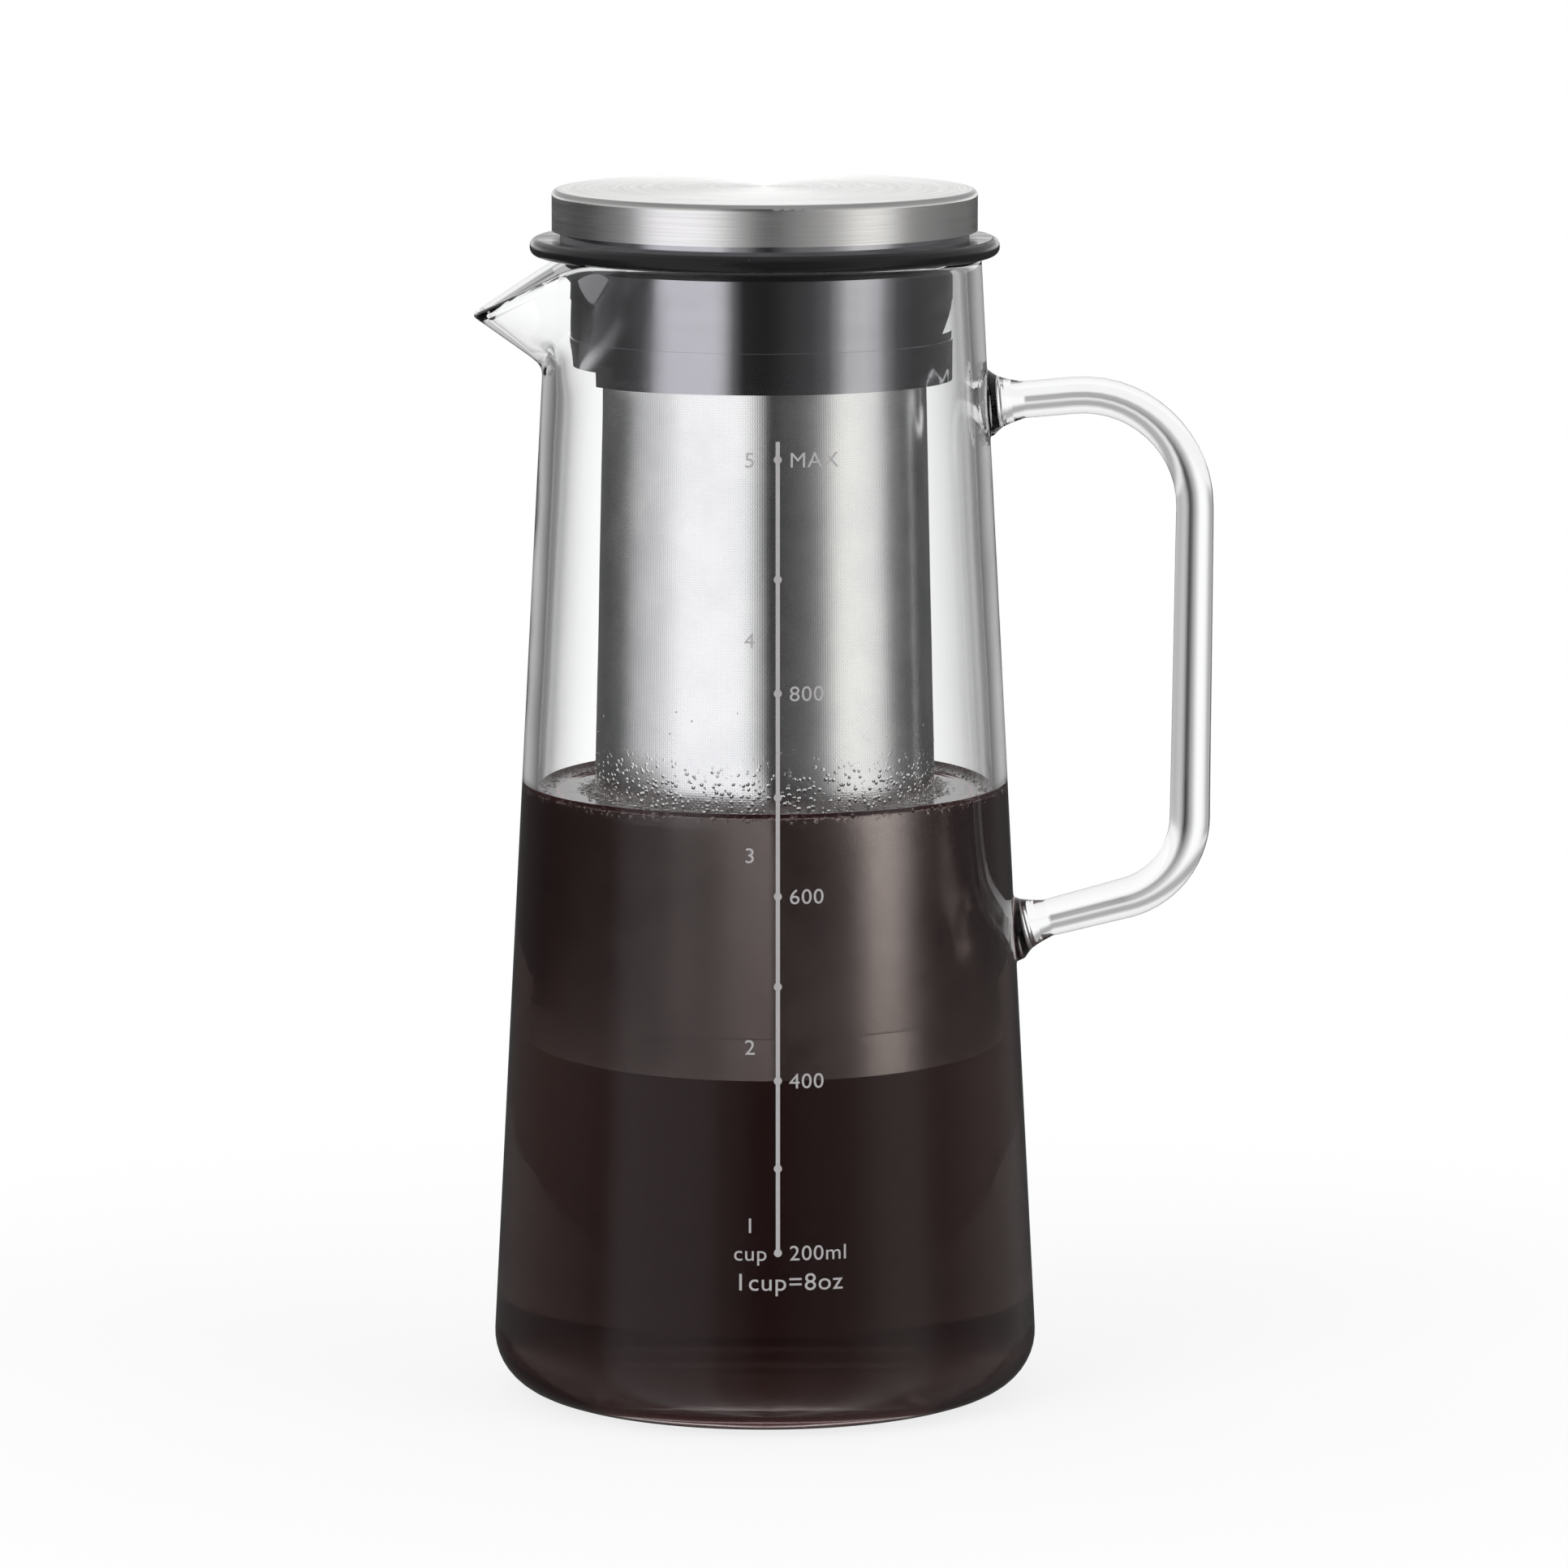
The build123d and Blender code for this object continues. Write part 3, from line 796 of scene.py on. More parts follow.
class Tree:
    """Short calls to add, set and link the nodes of a material or of a node group."""

    def __init__(self, tree):
        self.nodes = tree.nodes
        self.links = tree.links

    def add(self, kind, inputs=None, **settings):
        """A new node with its settings and inputs."""
        node = self.nodes.new("ShaderNode" + kind)
        for name, value in settings.items():
            setattr(node, name, value)
        for socket, value in (inputs or {}).items():
            self.put(value, node.inputs[socket])
        return node

    def put(self, value, socket):
        """Links an output to a socket, or writes a plain value on it."""
        if isinstance(value, bpy.types.NodeSocket):
            self.links.new(value, socket)
        else:
            socket.default_value = value

    def math(self, operation, *values):
        """The result of a Math node."""
        node = self.add("Math", operation=operation)
        for socket, value in zip(node.inputs, values):
            self.put(value, socket)
        return node.outputs[0]

    def product(self, first, *others):
        """All the values multiplied together."""
        for other in others:
            first = self.math("MULTIPLY", first, other)
        return first

    def place(self):
        """Where a point lies on the object."""
        return self.add("TexCoord").outputs["Object"]

    def split(self, vector):
        """The X, Y and Z of a vector."""
        return self.add("SeparateXYZ", {0: vector}).outputs

    def level_part(self, parts):
        """A place's part in the level plane, and how far that is from the axis."""
        flat = self.add("CombineXYZ", {"X": parts["X"], "Y": parts["Y"]}).outputs[0]
        return flat, self.add("VectorMath", {0: flat}, operation="LENGTH").outputs["Value"]

    def noise(self, place, scale=1.0, detail=2.0, roughness=0.5):
        """A cloudy value with the given scale."""
        inputs = {"Vector": place, "Scale": scale, "Detail": detail, "Roughness": roughness}
        return self.add("TexNoise", inputs).outputs["Fac"]

    def cells(self, place, size):
        """Scattered cells of a size: distance from a cell's middle, and a value of its own."""
        cells = self.add("TexVoronoi", {"Vector": place, "Scale": self.math("DIVIDE", 1.0, size)})
        own = self.add("SeparateColor", {0: cells.outputs["Color"]}).outputs[0]
        return cells.outputs["Distance"], own

    def ramp(self, factor, stops):
        """A ramp through stops of position and light, or of position and colour."""
        node = self.add("ValToRGB")
        elements = node.color_ramp.elements
        while len(elements) < len(stops):
            elements.new(0.5)
        for element, (position, colour) in zip(elements, stops):
            element.position = position
            element.color = (*colour, 1) if isinstance(colour, tuple) else grey(colour)
        self.put(factor, node.inputs["Fac"])
        return node.outputs["Color"]

    def spread(self, value, low, high, to_low=0.0, to_high=1.0):
        """A value taken smoothly from one range to another and held at the ends."""
        node = self.add("MapRange", interpolation_type="SMOOTHSTEP")
        ends = {"From Min": low, "From Max": high, "To Min": to_low, "To Max": to_high}
        for socket, end in ends.items():
            node.inputs[socket].default_value = end
        self.put(value, node.inputs["Value"])
        return node.outputs["Result"]

    def sweep(self, angle, low, high, to_low=0.0, to_high=1.0):
        """The same for an angle, with its first range in degrees."""
        return self.spread(angle, math.radians(low), math.radians(high), to_low, to_high)

    def mix(self, factor, first, second, kind="MIX"):
        """Two colours mixed, added or multiplied."""
        node = self.add("Mix", data_type="RGBA", blend_type=kind)
        self.put(factor, node.inputs["Factor"])
        self.put(first, node.inputs["A"])
        self.put(second, node.inputs["B"])
        return node.outputs["Result"]


class Shader(Tree):
    """One material with its Principled surface."""

    def __init__(self, name):
        self.material = bpy.data.materials.new(name)
        self.material.use_nodes = True
        super().__init__(self.material.node_tree)
        self.surface = self.nodes["Principled BSDF"]
        self.output = self.nodes["Material Output"]

    def set(self, **values):
        """Plain values or links for the surface's sockets; an underscore stands for a space."""
        for name, value in values.items():
            self.put(value, self.surface.inputs[name.replace("_", " ")])

    def group(self, group, **values):
        """The outputs of a shared effect with its inputs set."""
        node = self.nodes.new("ShaderNodeGroup")
        node.node_tree = group
        for name, value in values.items():
            self.put(value, node.inputs[name.replace("_", " ")])
        return node.outputs

    def bump(self, height, depth, strength, normal=None):
        """Relief of a depth in metres, over a normal of its own where one is given."""
        node = self.add("Bump", {"Height": height, "Distance": depth, "Strength": strength})
        if normal:
            self.put(normal, node.inputs["Normal"])
        self.put(node.outputs["Normal"], self.surface.inputs["Normal"])
        return node.outputs["Normal"]


def group_of(name, inputs, outputs):
    """A new node group with number inputs (name: start value) and number outputs, and calls to fill it."""
    tree = bpy.data.node_groups.new(name, "ShaderNodeTree")
    for socket, value in inputs.items():
        made = tree.interface.new_socket(socket, in_out="INPUT", socket_type="NodeSocketFloat")
        made.default_value = value
    for socket in outputs:
        tree.interface.new_socket(socket, in_out="OUTPUT", socket_type="NodeSocketFloat")
    t = Tree(tree)
    enter = t.nodes.new("NodeGroupInput")
    leave = t.nodes.new("NodeGroupOutput")
    return tree, t, enter.outputs, leave.inputs


def lathe_lines_group():
    """Fine brushed lines that run round the Z axis, on a side wall and on a top face alike."""
    inputs = {"Pitch": 0.25 * MM, "Length": 1.6}
    tree, t, enter, leave = group_of("lathe_lines", inputs, ["Lines", "Bands"])
    parts = t.split(t.place())
    flat, radius = t.level_part(parts)
    around = t.split(t.add("VectorMath", {0: flat}, operation="NORMALIZE").outputs["Vector"])
    across = t.math("DIVIDE", t.math("ADD", radius, parts["Z"]), enter["Pitch"])
    line = {
        "X": t.math("MULTIPLY", around["X"], enter["Length"]),
        "Y": t.math("MULTIPLY", around["Y"], enter["Length"]),
        "Z": across,
    }
    band = {**line, "Z": t.math("MULTIPLY", across, 0.16)}
    t.put(t.noise(t.add("CombineXYZ", line).outputs[0], detail=3.0, roughness=0.65), leave["Lines"])
    t.put(t.noise(t.add("CombineXYZ", band).outputs[0]), leave["Bands"])
    return tree


def handling_group():
    """Faint smudges and specks of use: a slow cloud, and sparse small marks."""
    inputs = {"Cloud Size": 20 * MM, "Speck Size": 1.2 * MM}
    tree, t, enter, leave = group_of("handling", inputs, ["Cloud", "Specks"])
    place = t.place()
    cloud = t.noise(place, t.math("DIVIDE", 1.0, enter["Cloud Size"]), detail=4.0, roughness=0.55)
    away, own = t.cells(place, enter["Speck Size"])
    specks = t.product(t.spread(away, 0.05, 0.22, 1.0, 0.0), t.spread(own, 0.86, 0.9))
    t.put(cloud, leave["Cloud"])
    t.put(specks, leave["Specks"])
    return tree


def clinging_drops_group():
    """Small round drops on a wet surface, some here and some missing: a height for bump."""
    tree, t, enter, leave = group_of("clinging_drops", {"Size": 1 * MM}, ["Height"])
    away, own = t.cells(t.place(), enter["Size"])
    t.put(t.product(t.spread(away, 0.1, 0.45, 1.0, 0.0), t.spread(own, 0.35, 0.5)), leave["Height"])
    return tree


def woven_wire_group():
    """Plain weave of fine wire round the Z axis: a height for bump and a mask of the gaps."""
    inputs = {"Pitch": WIRE_PITCH, "Radius": 30 * MM}
    tree, t, enter, leave = group_of("woven_wire", inputs, ["Height", "Gaps"])
    parts = t.split(t.place())
    angle = t.math("ARCTAN2", parts["Y"], parts["X"])
    girth = t.math("MULTIPLY", enter["Radius"], math.tau)
    count = t.math("ROUND", t.math("DIVIDE", girth, enter["Pitch"]))
    across = t.math("MULTIPLY", angle, t.math("MULTIPLY", count, 0.5))
    up = t.math("MULTIPLY", parts["Z"], t.math("DIVIDE", math.pi, enter["Pitch"]))
    warp = t.math("ABSOLUTE", t.math("SINE", across))
    weft = t.math("ABSOLUTE", t.math("SINE", up))
    over = t.spread(t.product(t.math("COSINE", across), t.math("COSINE", up)), -0.4, 0.4)
    under = t.math("SUBTRACT", 1.0, over)
    high = t.math("ADD", t.math("MULTIPLY", warp, over), t.math("MULTIPLY", weft, under))
    t.put(t.math("POWER", high, 0.6), leave["Height"])
    t.put(t.spread(t.math("MAXIMUM", warp, weft), 0.35, 0.6, 1.0, 0.0), leave["Gaps"])
    return tree


def clear_glass(name, reflects, bending=1.47, haze=0.0, painted_edge_shade=0.55):
    """Clear blown glass with the faint swells of hand work, with painted shade that greys its colour where
    it is seen edge on.
    """
    s = Shader(name)
    s.set(Roughness=haze, IOR=bending, Transmission_Weight=1.0, Specular_Tint=grey(reflects))
    # Painted shade: the glass's colour turns grey where its surface is seen edge on.
    edge = s.add("LayerWeight", {"Blend": 0.5}).outputs["Facing"]
    deep = s.math("POWER", edge, 3.6)
    s.set(Base_Color=s.mix(deep, (0.985, 0.99, 0.988, 1), grey(painted_edge_shade)))
    s.bump(s.noise(s.place(), 38.0, detail=1.0), 0.6 * MM, 0.18)
    return s.material


def froth_share(s, place):
    """1 where fine froth lies on the coffee, round the filter and along the glass."""
    parts = s.split(place)
    out = s.level_part(parts)[1]
    wall = inner_radius(FILL)
    round_filter = s.spread(out, filter_radius(FILL) + 1 * MM, filter_radius(FILL) + FROTH_BAND, 1.0, 0.0)
    along_glass = s.spread(out, wall - FROTH_RIM[0], wall - FROTH_RIM[1])
    on_top = s.spread(parts["Z"], FILL - 0.5 * MM, FILL - 0.2 * MM)
    return s.product(s.math("MAXIMUM", round_filter, along_glass), on_top)


def coffee_liquid(name, reflects):
    """Dark brown coffee that goes reddish where it is thin."""
    s = Shader(name)
    s.set(Base_Color=grey(1), Roughness=0.0, IOR=1.333, Transmission_Weight=1.0)
    s.set(Specular_Tint=grey(reflects))
    # A faint red-brown glow painted into the brew as emission, in place of the light that the grounds send
    # back.
    s.set(Emission_Color=(0.0085, 0.0032, 0.0034, 1), Emission_Strength=1.0)
    body = s.add("VolumeAbsorption", {"Color": (0.333, 0.265, 0.24, 1), "Density": 88.0})
    s.put(body.outputs["Volume"], s.output.inputs["Volume"])
    place = s.place()
    rippled = s.bump(s.noise(place, 90.0), 0.3 * MM, 0.15)
    bubbles = s.group(GROUPS["clinging_drops"], Size=1.2 * MM)["Height"]
    s.bump(s.product(bubbles, froth_share(s, place)), 0.4 * MM, 0.9, rippled)
    return s.material


def froth():
    """Thin-walled bubbles and drops of water tinted by the brew."""
    s = Shader("froth")
    s.set(Base_Color=(1.0, 0.99, 0.98, 1), Roughness=0.03, IOR=1.33, Transmission_Weight=1.0)
    return s.material


def burnished_edge(s):
    """1 on the cap's rolled edge, where a dark band of painted shade is put in the steel's colour."""
    parts = s.split(s.place())
    out = s.level_part(parts)[1]
    high = s.spread(parts["Z"], CAP_SHOULDER - CAP_EDGE * 1.1, CAP_SHOULDER - CAP_EDGE * 0.5)
    return s.product(high, s.spread(out, cap_high.x - CAP_EDGE * 1.1, cap_high.x - CAP_EDGE * 0.6))


def brushed_cap():
    """Stainless steel brushed round on the lathe, with a soft sheen across the lines."""
    s = Shader("cap_steel")
    lines = s.group(GROUPS["lathe_lines"], Pitch=0.22 * MM, Length=1.5)
    cloud = s.group(GROUPS["handling"], Cloud_Size=30 * MM)["Cloud"]
    tone = s.mix(lines["Lines"], (0.66, 0.655, 0.65, 1), (0.86, 0.855, 0.85, 1))
    tone = s.mix(s.math("MULTIPLY", lines["Bands"], 0.2), tone, (0.62, 0.6, 0.58, 1))
    # Painted shade: the rolled edge is darkened in the steel's colour.
    tone = s.mix(s.math("MULTIPLY", burnished_edge(s), 0.75), tone, (0.16, 0.158, 0.155, 1))
    rough = s.spread(lines["Lines"], 0.2, 0.8, 0.24, 0.16)
    tangent = s.add("Tangent", direction_type="RADIAL", axis="Z").outputs[0]
    s.set(Base_Color=tone, Metallic=1.0, Anisotropic=0.6, Tangent=tangent)
    s.set(Roughness=s.math("ADD", rough, s.math("MULTIPLY", cloud, 0.06)))
    s.bump(lines["Lines"], 0.03 * MM, 0.35)
    return s.material


def rolled_normal(s, parts):
    """The surface's direction on a tube rolled by hand, which leans a little from a true round."""
    # How far round from the nearer of front and back: 0 there and 90 degrees at the sides.
    round_from = s.math("ARCTAN2", parts["X"], s.math("MULTIPLY", parts["Y"], -1.0))
    folded = s.math("ARCSINE", s.math("SINE", round_from))
    flat = s.product(s.sweep(folded, -30, -14, 0.0, TUBE_FLAT), s.sweep(folded, -1, 6, 1.0, 0.0))
    handle_side = s.sweep(folded, 25, 46, 0.0, TUBE_SHOULDER)
    spout_side = s.sweep(folded, -28, -57, 0.0, TUBE_SLACK)
    shoulder = s.product(
        s.math("ADD", handle_side, spout_side),
        s.sweep(s.math("ABSOLUTE", folded), 66, 86, 1.0, 0.0),
        s.math("SIGN", folded),
        s.spread(parts["Z"], *TUBE_ROLLED),
    )
    twist = s.spread(parts["Z"], *TUBE_ROLLED, TUBE_TWIST, 0.0)
    turn = s.math("ADD", s.math("ADD", flat, shoulder), twist)
    true_round = s.add("NewGeometry").outputs["Normal"]
    turned_round = s.add("VectorRotate", {"Vector": true_round, "Angle": turn}, rotation_type="Z_AXIS")
    return turned_round.outputs[0]


def filter_tube_steel(name, weave_share):
    """Bright stainless of the filter's wall, wet near the coffee: woven (1) or plain sheet (0)."""
    s = Shader(name)
    weave = s.group(GROUPS["woven_wire"], Pitch=WIRE_PITCH, Radius=30.7 * MM)
    cloud = s.group(GROUPS["handling"], Cloud_Size=12 * MM)["Cloud"]
    parts = s.split(s.place())
    tone = s.mix(s.spread(cloud, 0.3, 0.7), (0.79, 0.79, 0.795, 1), (0.87, 0.865, 0.86, 1))
    tone = s.mix(s.math("MULTIPLY", weave["Gaps"], 0.22 * weave_share), tone, (0.4, 0.39, 0.38, 1))
    # The steel's colour darkens from just above the coffee down towards the foot.
    darker_to_foot = s.spread(parts["Z"], filter_low.z - 8 * MM, FILL + 4 * MM, 0.5, 0.0)
    s.set(Base_Color=s.mix(darker_to_foot, tone, (0.3, 0.28, 0.27, 1)), Metallic=1.0)
    s.set(Roughness=s.math("ADD", 0.15, s.math("MULTIPLY", cloud, 0.08)))
    woven = s.bump(weave["Height"], 0.06 * MM, 0.14 * weave_share, rolled_normal(s, parts))
    drops = s.group(GROUPS["clinging_drops"], Size=0.9 * MM)["Height"]
    above = s.spread(parts["Z"], FILL - 1 * MM, FILL)
    below = s.spread(parts["Z"], FILL, SPLASH, 1.0, 0.0)
    s.bump(s.product(drops, above, below), 0.3 * MM, 0.75, woven)
    return s.material


def drawn_steel():
    """Drawn stainless sheet with faint draw lines, for the filter's ring and lining."""
    s = Shader("filter_steel")
    lines = s.group(GROUPS["lathe_lines"], Pitch=0.6 * MM, Length=0.7)
    s.set(Base_Color=s.mix(lines["Lines"], grey(0.675), grey(0.75)), Metallic=1.0)
    s.set(Roughness=s.spread(lines["Bands"], 0.3, 0.7, 0.24, 0.32))
    s.bump(lines["Lines"], 0.03 * MM, 0.12)
    return s.material


def glossy_black():
    """Hard black plastic polished until it mirrors the room, as a dark metal would."""
    s = Shader("stopper_black")
    bands = s.group(GROUPS["lathe_lines"], Pitch=1.1 * MM, Length=1.2)["Bands"]
    cloud = s.group(GROUPS["handling"], Cloud_Size=20 * MM)["Cloud"]
    s.set(Base_Color=s.mix(bands, (0.38, 0.375, 0.40, 1), (0.46, 0.455, 0.485, 1)), Metallic=1.0)
    s.set(Roughness=s.math("ADD", 0.05, s.math("MULTIPLY", cloud, 0.05)))
    s.bump(bands, 0.05 * MM, 0.2)
    return s.material


def silicone():
    """Black silicone, satin, with a little lint."""
    s = Shader("silicone_black")
    use = s.group(GROUPS["handling"], Cloud_Size=8 * MM, Speck_Size=0.9 * MM)
    tone = s.mix(use["Cloud"], (0.007, 0.007, 0.008, 1), (0.014, 0.014, 0.015, 1))
    s.set(Base_Color=s.mix(s.math("MULTIPLY", use["Specks"], 0.3), tone, grey(0.12)))
    s.set(Roughness=s.spread(use["Cloud"], 0.3, 0.7, 0.16, 0.26), Specular_IOR_Level=0.15)
    s.bump(s.noise(s.place(), 2500.0), 0.04 * MM, 0.15)
    return s.material


def moulded_core():
    """Moulded black plastic with a fine satin grain."""
    s = Shader("core_black")
    cloud = s.group(GROUPS["handling"], Cloud_Size=15 * MM)["Cloud"]
    s.set(Base_Color=s.mix(cloud, grey(0.018), grey(0.03)))
    s.set(Roughness=s.spread(cloud, 0.3, 0.7, 0.34, 0.46))
    s.bump(s.noise(s.place(), 1800.0), 0.05 * MM, 0.3)
    return s.material


def pale_ink():
    """Fired-on pale ink, a little uneven."""
    s = Shader("pale_ink")
    grain = s.noise(s.place(), 1600.0, detail=3.0)
    s.set(Base_Color=s.mix(grain, (0.36, 0.345, 0.35, 1), (0.46, 0.445, 0.45, 1)), Roughness=0.55)
    s.bump(grain, 0.02 * MM, 0.3)
    return s.material


# ======================================================================================
# Stage: world, floor, lamps and camera
# ======================================================================================
def ray_masks(t):
    """What a ray has met before it leaves for the room, each as 0 or 1."""
    path = t.add("LightPath").outputs
    crossed, mirrored = path["Transmission Depth"], path["Glossy Depth"]
    return {
        "eye": path["Is Camera Ray"],
        "through": path["Is Transmission Ray"],
        "bare": t.math("LESS_THAN", crossed, 0.5),  # no glass yet
        "shallow": t.math("LESS_THAN", crossed, 3.5),  # one wall or the handle's rod at most
        "brewed": t.math("GREATER_THAN", crossed, 4.5),  # glass and coffee
        "straight": t.math("LESS_THAN", mirrored, 0.5),
        "bounced": t.math("GREATER_THAN", mirrored, 0.5),
        "many": t.math("GREATER_THAN", mirrored, 1.5),
        "clean": t.math("LESS_THAN", path["Diffuse Depth"], 0.5),  # off no dull surface
    }


def panel_light(t, turn, panels):
    """The light of a list of panels in the direction of a turn."""
    share = t.math("MULTIPLY_ADD", turn, 1 / math.tau, 0.5)
    return t.ramp(share, [(degrees / 360 + 0.5, light) for degrees, light in panels])


def room_light(t, way, turn, ray):
    """The room that surfaces mirror: low and high panels, the ceiling and the far side."""
    low = panel_light(t, turn, PANELS)
    low = t.mix(ray["bare"], low, panel_light(t, turn, OPEN_SHINE), "ADD")
    low = t.mix(ray["brewed"], low, panel_light(t, turn, BREW_SHINE), "MULTIPLY")
    room = t.mix(t.spread(way["Z"], *UPPER_EDGE), low, panel_light(t, turn, UPPER_PANELS))
    room = t.mix(t.spread(way["Z"], *CEILING_EDGE), room, CEILING)
    far_side = t.sweep(t.math("ABSOLUTE", turn), 120, 150)
    far = t.product(t.spread(way["Z"], *FAR_EDGE), ray["bare"], far_side)
    room = t.mix(far, room, t.ramp(way["Z"], FAR_SKY))
    # Light that has gone round inside thick glass comes from all over the room, so it is never black.
    within = t.product(ray["bounced"], ray["shallow"], t.math("SUBTRACT", 1.0, ray["bare"]))
    return t.mix(t.math("MAXIMUM", ray["many"], within), room, grey(WITHIN_LIGHT))


def light_behind_rod(t, way):
    """What shows through the handle's rod; its arms throw the light up or down instead of aside."""
    aside = t.math("DIVIDE", t.math("ARCTAN2", way["X"], t.math("ABSOLUTE", way["Y"])), math.pi)
    grip = t.ramp(t.math("ADD", aside, 0.5), [(degrees / 180 + 0.5, light) for degrees, light in ROD_GAPS])
    tipped = t.math("ABSOLUTE", t.math("ADD", way["Z"], EYE_DIP))
    return t.mix(t.spread(tipped, *ROD_ARM_EDGE), grip, grey(ROD_ARM_LIGHT))


def light_behind(t, way, turn, ray):
    """What shows through glass: white straight behind, with dark gaps to the side that draw the edges."""
    eighth = math.pi / 4
    along = t.math("FLOORED_MODULO", t.math("SUBTRACT", math.pi, turn), eighth)
    gaps = t.ramp(t.math("DIVIDE", along, eighth), [(degrees / 45, light) for degrees, light in GAPS])
    level = t.spread(t.math("ABSOLUTE", way["Z"]), *GAPS_EDGE, 1.0, 0.0)
    behind = t.mix(ray["shallow"], t.mix(level, grey(1), gaps), light_behind_rod(t, way))
    above = t.ramp(t.math("MULTIPLY_ADD", way["Z"], 0.5, 0.5), GAPS_ABOVE)
    behind = t.mix(1.0, behind, above, "MULTIPLY")
    edge = t.math("MINIMUM", t.math("ABSOLUTE", way["X"]), t.math("ABSOLUTE", way["Y"]))
    behind = t.mix(ray["bounced"], behind, t.ramp(edge, EDGE_GAPS))
    # Light that comes straight through the coffee crosses six faces, and the brew's haze holds it back.
    return t.mix(t.product(ray["straight"], ray["brewed"], BREW_HAZE), behind, grey(0))


def studio_world():
    """White behind everything, with soft light panels and dark gaps for gloss and reflections."""
    world = bpy.data.worlds.new("studio")
    bpy.context.scene.world = world
    world.use_nodes = True
    world.node_tree.nodes.clear()
    t = Tree(world.node_tree)
    way = t.split(t.add("TexCoord").outputs["Generated"])
    # How far round a direction points: 0 towards the camera's side and half a turn straight behind.
    turn = t.math("ARCTAN2", way["X"], t.math("MULTIPLY", way["Y"], -1.0))
    ray = ray_masks(t)
    room = room_light(t, way, turn, ray)
    behind = light_behind(t, way, turn, ray)
    backward = t.sweep(t.math("ABSOLUTE", turn), 80, 115)
    inside = t.product(ray["bounced"], t.math("MAXIMUM", ray["shallow"], ray["many"]), backward)
    clear = t.product(t.math("MAXIMUM", ray["straight"], inside), ray["clean"], ray["through"])
    light = t.mix(ray["eye"], t.mix(clear, room, behind), grey(1))
    shine = t.add("Background", {"Color": light})
    t.add("OutputWorld", {"Surface": shine.outputs[0]})


def studio_floor():
    """A small round of pale floor that takes the shadow and fades into the white behind it."""
    deselect_all()
    bpy.ops.mesh.primitive_circle_add(vertices=96, radius=FLOOR_RADIUS, fill_type="NGON")
    floor = bpy.context.active_object
    floor.name = "studio_floor"
    s = Shader("studio_floor")
    s.set(Base_Color=grey(0.86), Roughness=0.9)
    glow = s.add("Emission")
    far = s.add("VectorMath", {0: s.place()}, operation="LENGTH").outputs["Value"]
    path = s.add("LightPath").outputs
    # Through glass it glows too, except under the carafe's foot.
    through = s.product(path["Is Transmission Ray"], s.spread(far, *FOOT_SHADE))
    seen = s.math("MAXIMUM", path["Is Camera Ray"], through)
    share = s.product(seen, s.spread(far, *FLOOR_FADE, 0.8, 1.0))
    mix = s.add("MixShader", {"Fac": share, 1: s.surface.outputs[0], 2: glow.outputs[0]})
    s.put(mix.outputs[0], s.output.inputs["Surface"])
    floor.data.materials.append(s.material)
    floor.visible_glossy = False
    floor.location.z = -0.2 * MM


def lamp(name, place, size, watts):
    """A soft square lamp that points at the middle of the carafe."""
    deselect_all()
    bpy.ops.object.light_add(type="AREA", location=place)
    light = bpy.context.active_object
    light.name = name
    light.data.size = size
    light.data.energy = watts
    light.rotation_euler = (Vector((0, 0, 0.1)) - Vector(place)).to_track_quat("-Z", "Y").to_euler()
    light.visible_glossy = False
    light.visible_camera = False
    light.visible_transmission = False


def camera():
    """A long lens a little above the rim, looking along +Y."""
    place = Vector((0, -1.612, 0.348))
    aim = Vector((0.0035, 0, 0.1119))
    bpy.ops.object.camera_add(location=place)
    view = bpy.context.active_object
    view.rotation_euler = (aim - place).to_track_quat("-Z", "Y").to_euler()
    view.data.lens = 204.1
    view.data.sensor_width = 36
    view.data.clip_start = 0.01
    bpy.context.scene.camera = view


def light_the_stage():
    """World, floor, two soft lamps, and enough bounces for the nested glass."""
    studio_world()
    studio_floor()
    lamp("key_lamp", (-0.9, -1.0, 1.1), 0.9, 9)
    lamp("fill_lamp", (1.1, -0.7, 0.8), 0.9, 5)
    scene = bpy.context.scene
    scene.view_settings.view_transform = "Standard"
    scene.cycles.max_bounces = 24
    scene.cycles.transmission_bounces = 24
    scene.cycles.glossy_bounces = 12
    scene.cycles.transparent_max_bounces = 24


# ======================================================================================
# Dressing
# ======================================================================================
def dress(piece, body, slot, materials, *nodes):
    """Gives a new piece its materials and its body, and hides the nodes it stands for; the slot is not
    used.
    """
    piece.data.materials.clear()
    for material in materials:
        piece.data.materials.append(material)
    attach(piece, body)
    if nodes:
        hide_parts(*nodes)


def other_material(piece, index, chosen):
    """Gives the chosen faces the piece's material of that number."""
    for face in piece.data.polygons:
        if chosen(face.center, face.normal):
            face.material_index = index


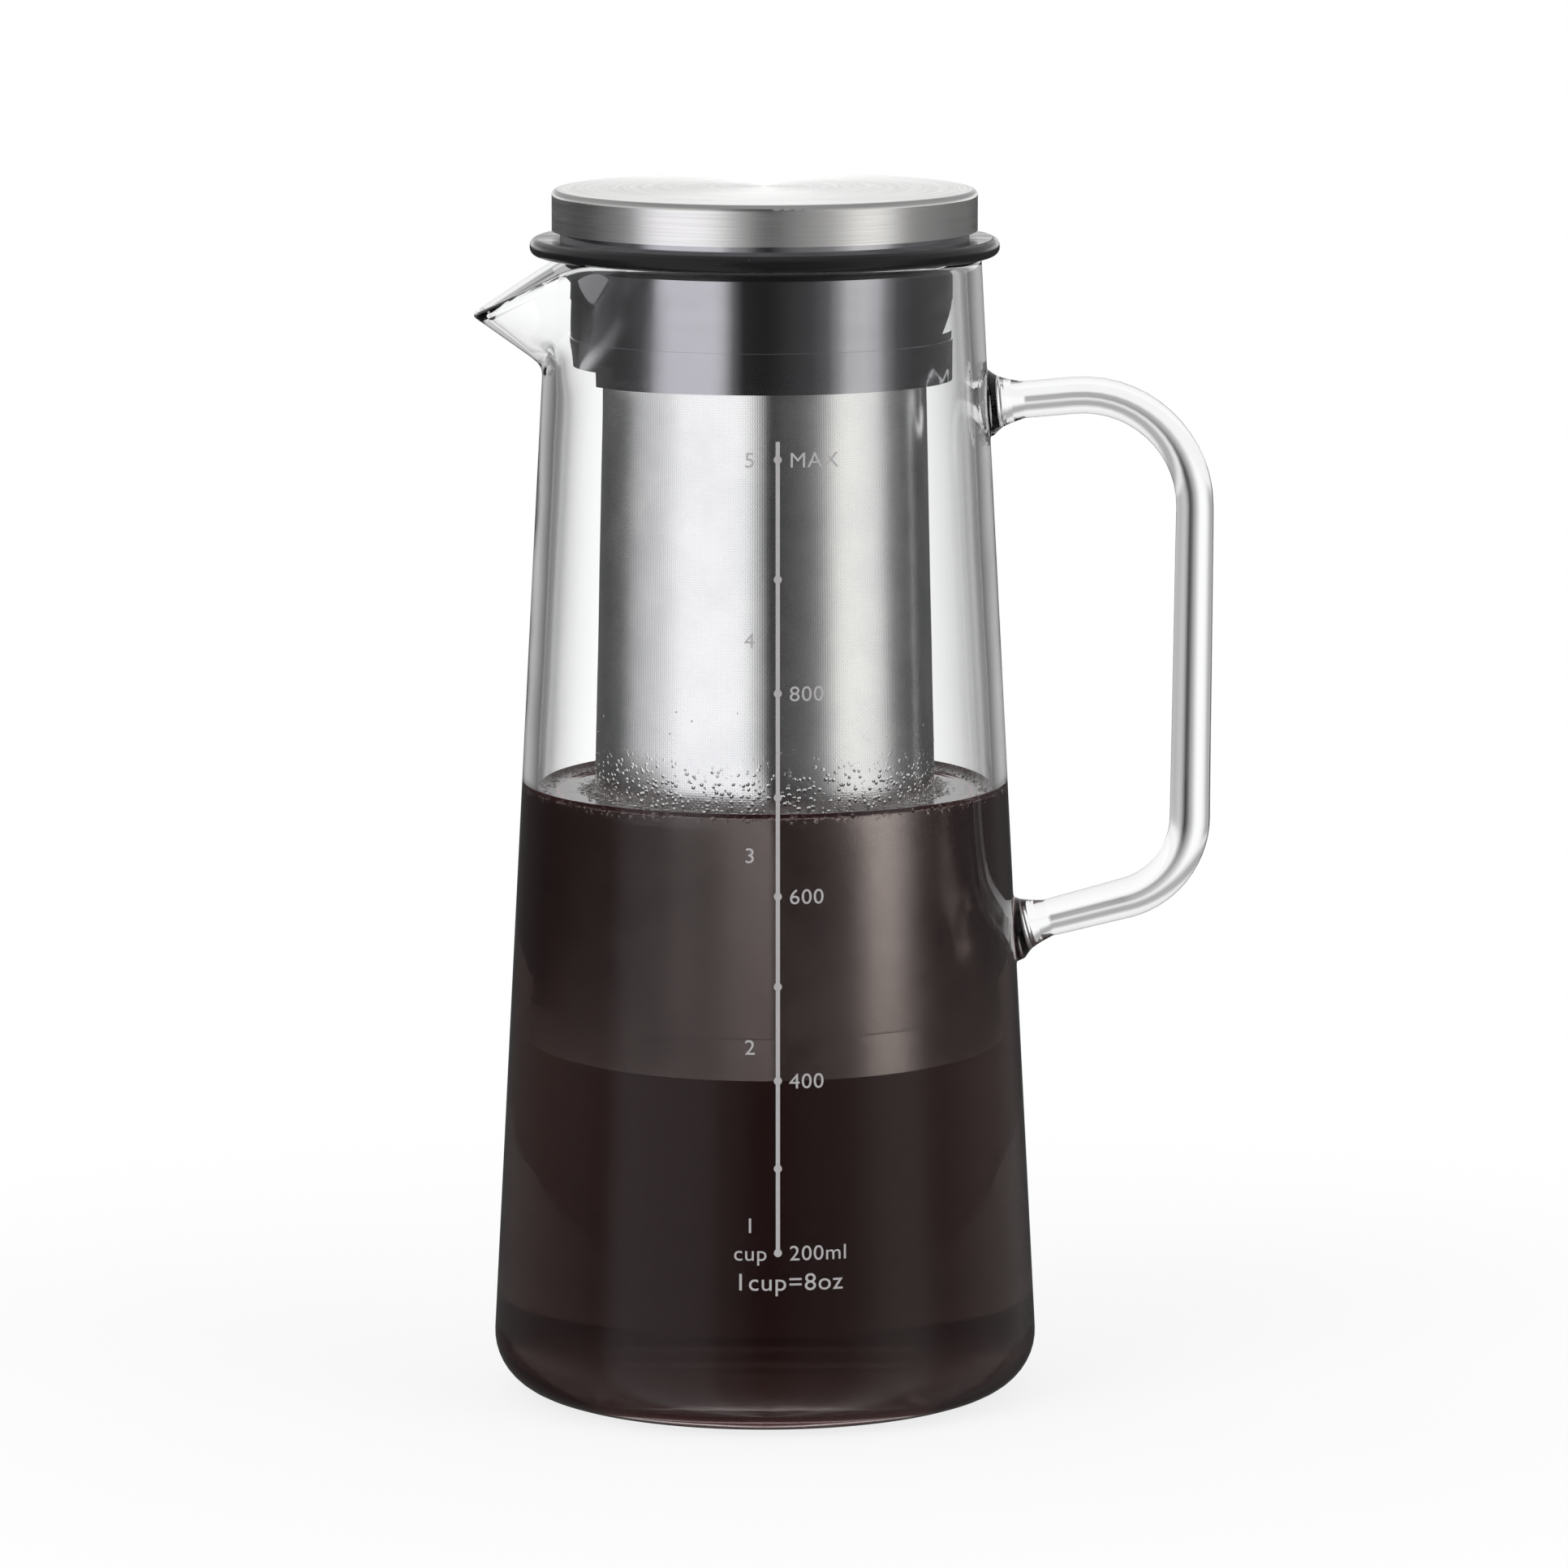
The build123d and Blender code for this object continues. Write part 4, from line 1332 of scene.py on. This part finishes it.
def wetted(centre, normal):
    """Inside faces of the glass that the coffee touches."""
    inward = centre.x * normal.x + centre.y * normal.y < 0
    return centre.z < FILL + 0.4 * MM and (inward or (normal.z > 0.4 and centre.z < 20 * MM))


def flame_worked(centre, normal):
    """The flared roots of the handle and the lip of the spout, softened in the flame."""
    if any(near_root(centre, root, rise, 0, ROOT_SOFTENED) for root, rise in ROOTS):
        return True
    return centre.x < -37 * MM and abs(centre.z - lip_height(-centre.x)) < 1.8 * MM


def against_glass(centre, normal):
    """The coffee's skin where it lies in the glass."""
    return not (centre.z > FILL - 1 * MM and normal.z > 0.3)


def finish_node(name, material):
    """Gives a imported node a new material."""
    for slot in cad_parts[name].material_slots:
        slot.material = material


GROUPS = {
    "lathe_lines": lathe_lines_group(),
    "handling": handling_group(),
    "woven_wire": woven_wire_group(),
    "clinging_drops": clinging_drops_group(),
}
camera()
light_the_stage()

glass = glass_carafe()
glasses = [
    clear_glass("clear_glass", 0.36),
    clear_glass("wet_glass", 0.0),
    clear_glass("flame_worked_glass", 0.6, bending=1.28, haze=0.05, painted_edge_shade=0.85),
]
dress(glass, "carafe", "clear_glass", glasses, "glass_carafe", "glass_handle")
other_material(glass, 1, wetted)
other_material(glass, 2, flame_worked)
coffee = coffee_fill()
liquids = [coffee_liquid("coffee", 1.0), coffee_liquid("coffee_at_glass", 0.0)]
dress(coffee, "carafe", "coffee", liquids, "coffee")
other_material(coffee, 1, against_glass)
chance = random.Random(11)
water = froth()
dress(foam_ring(chance), "carafe", None, [water])
dress(droplets(chance), "filter", None, [water])
dress(printed_scale(), "carafe", None, [pale_ink()])

steel = drawn_steel()
rubber = silicone()
finishes = {
    "cap_cover": brushed_cap(),
    "stopper_body": glossy_black(),
    "seal_ring": rubber,
    "cap_seal": rubber,
    "cap_core": moulded_core(),
    "filter_mesh": filter_tube_steel("filter_mesh_steel", 1.0),
    "filter_lining": steel,
    "filter_collar": steel,
    "filter_base": filter_tube_steel("filter_cup_steel", 0.0),
}
for node, finish in finishes.items():
    finish_node(node, finish)
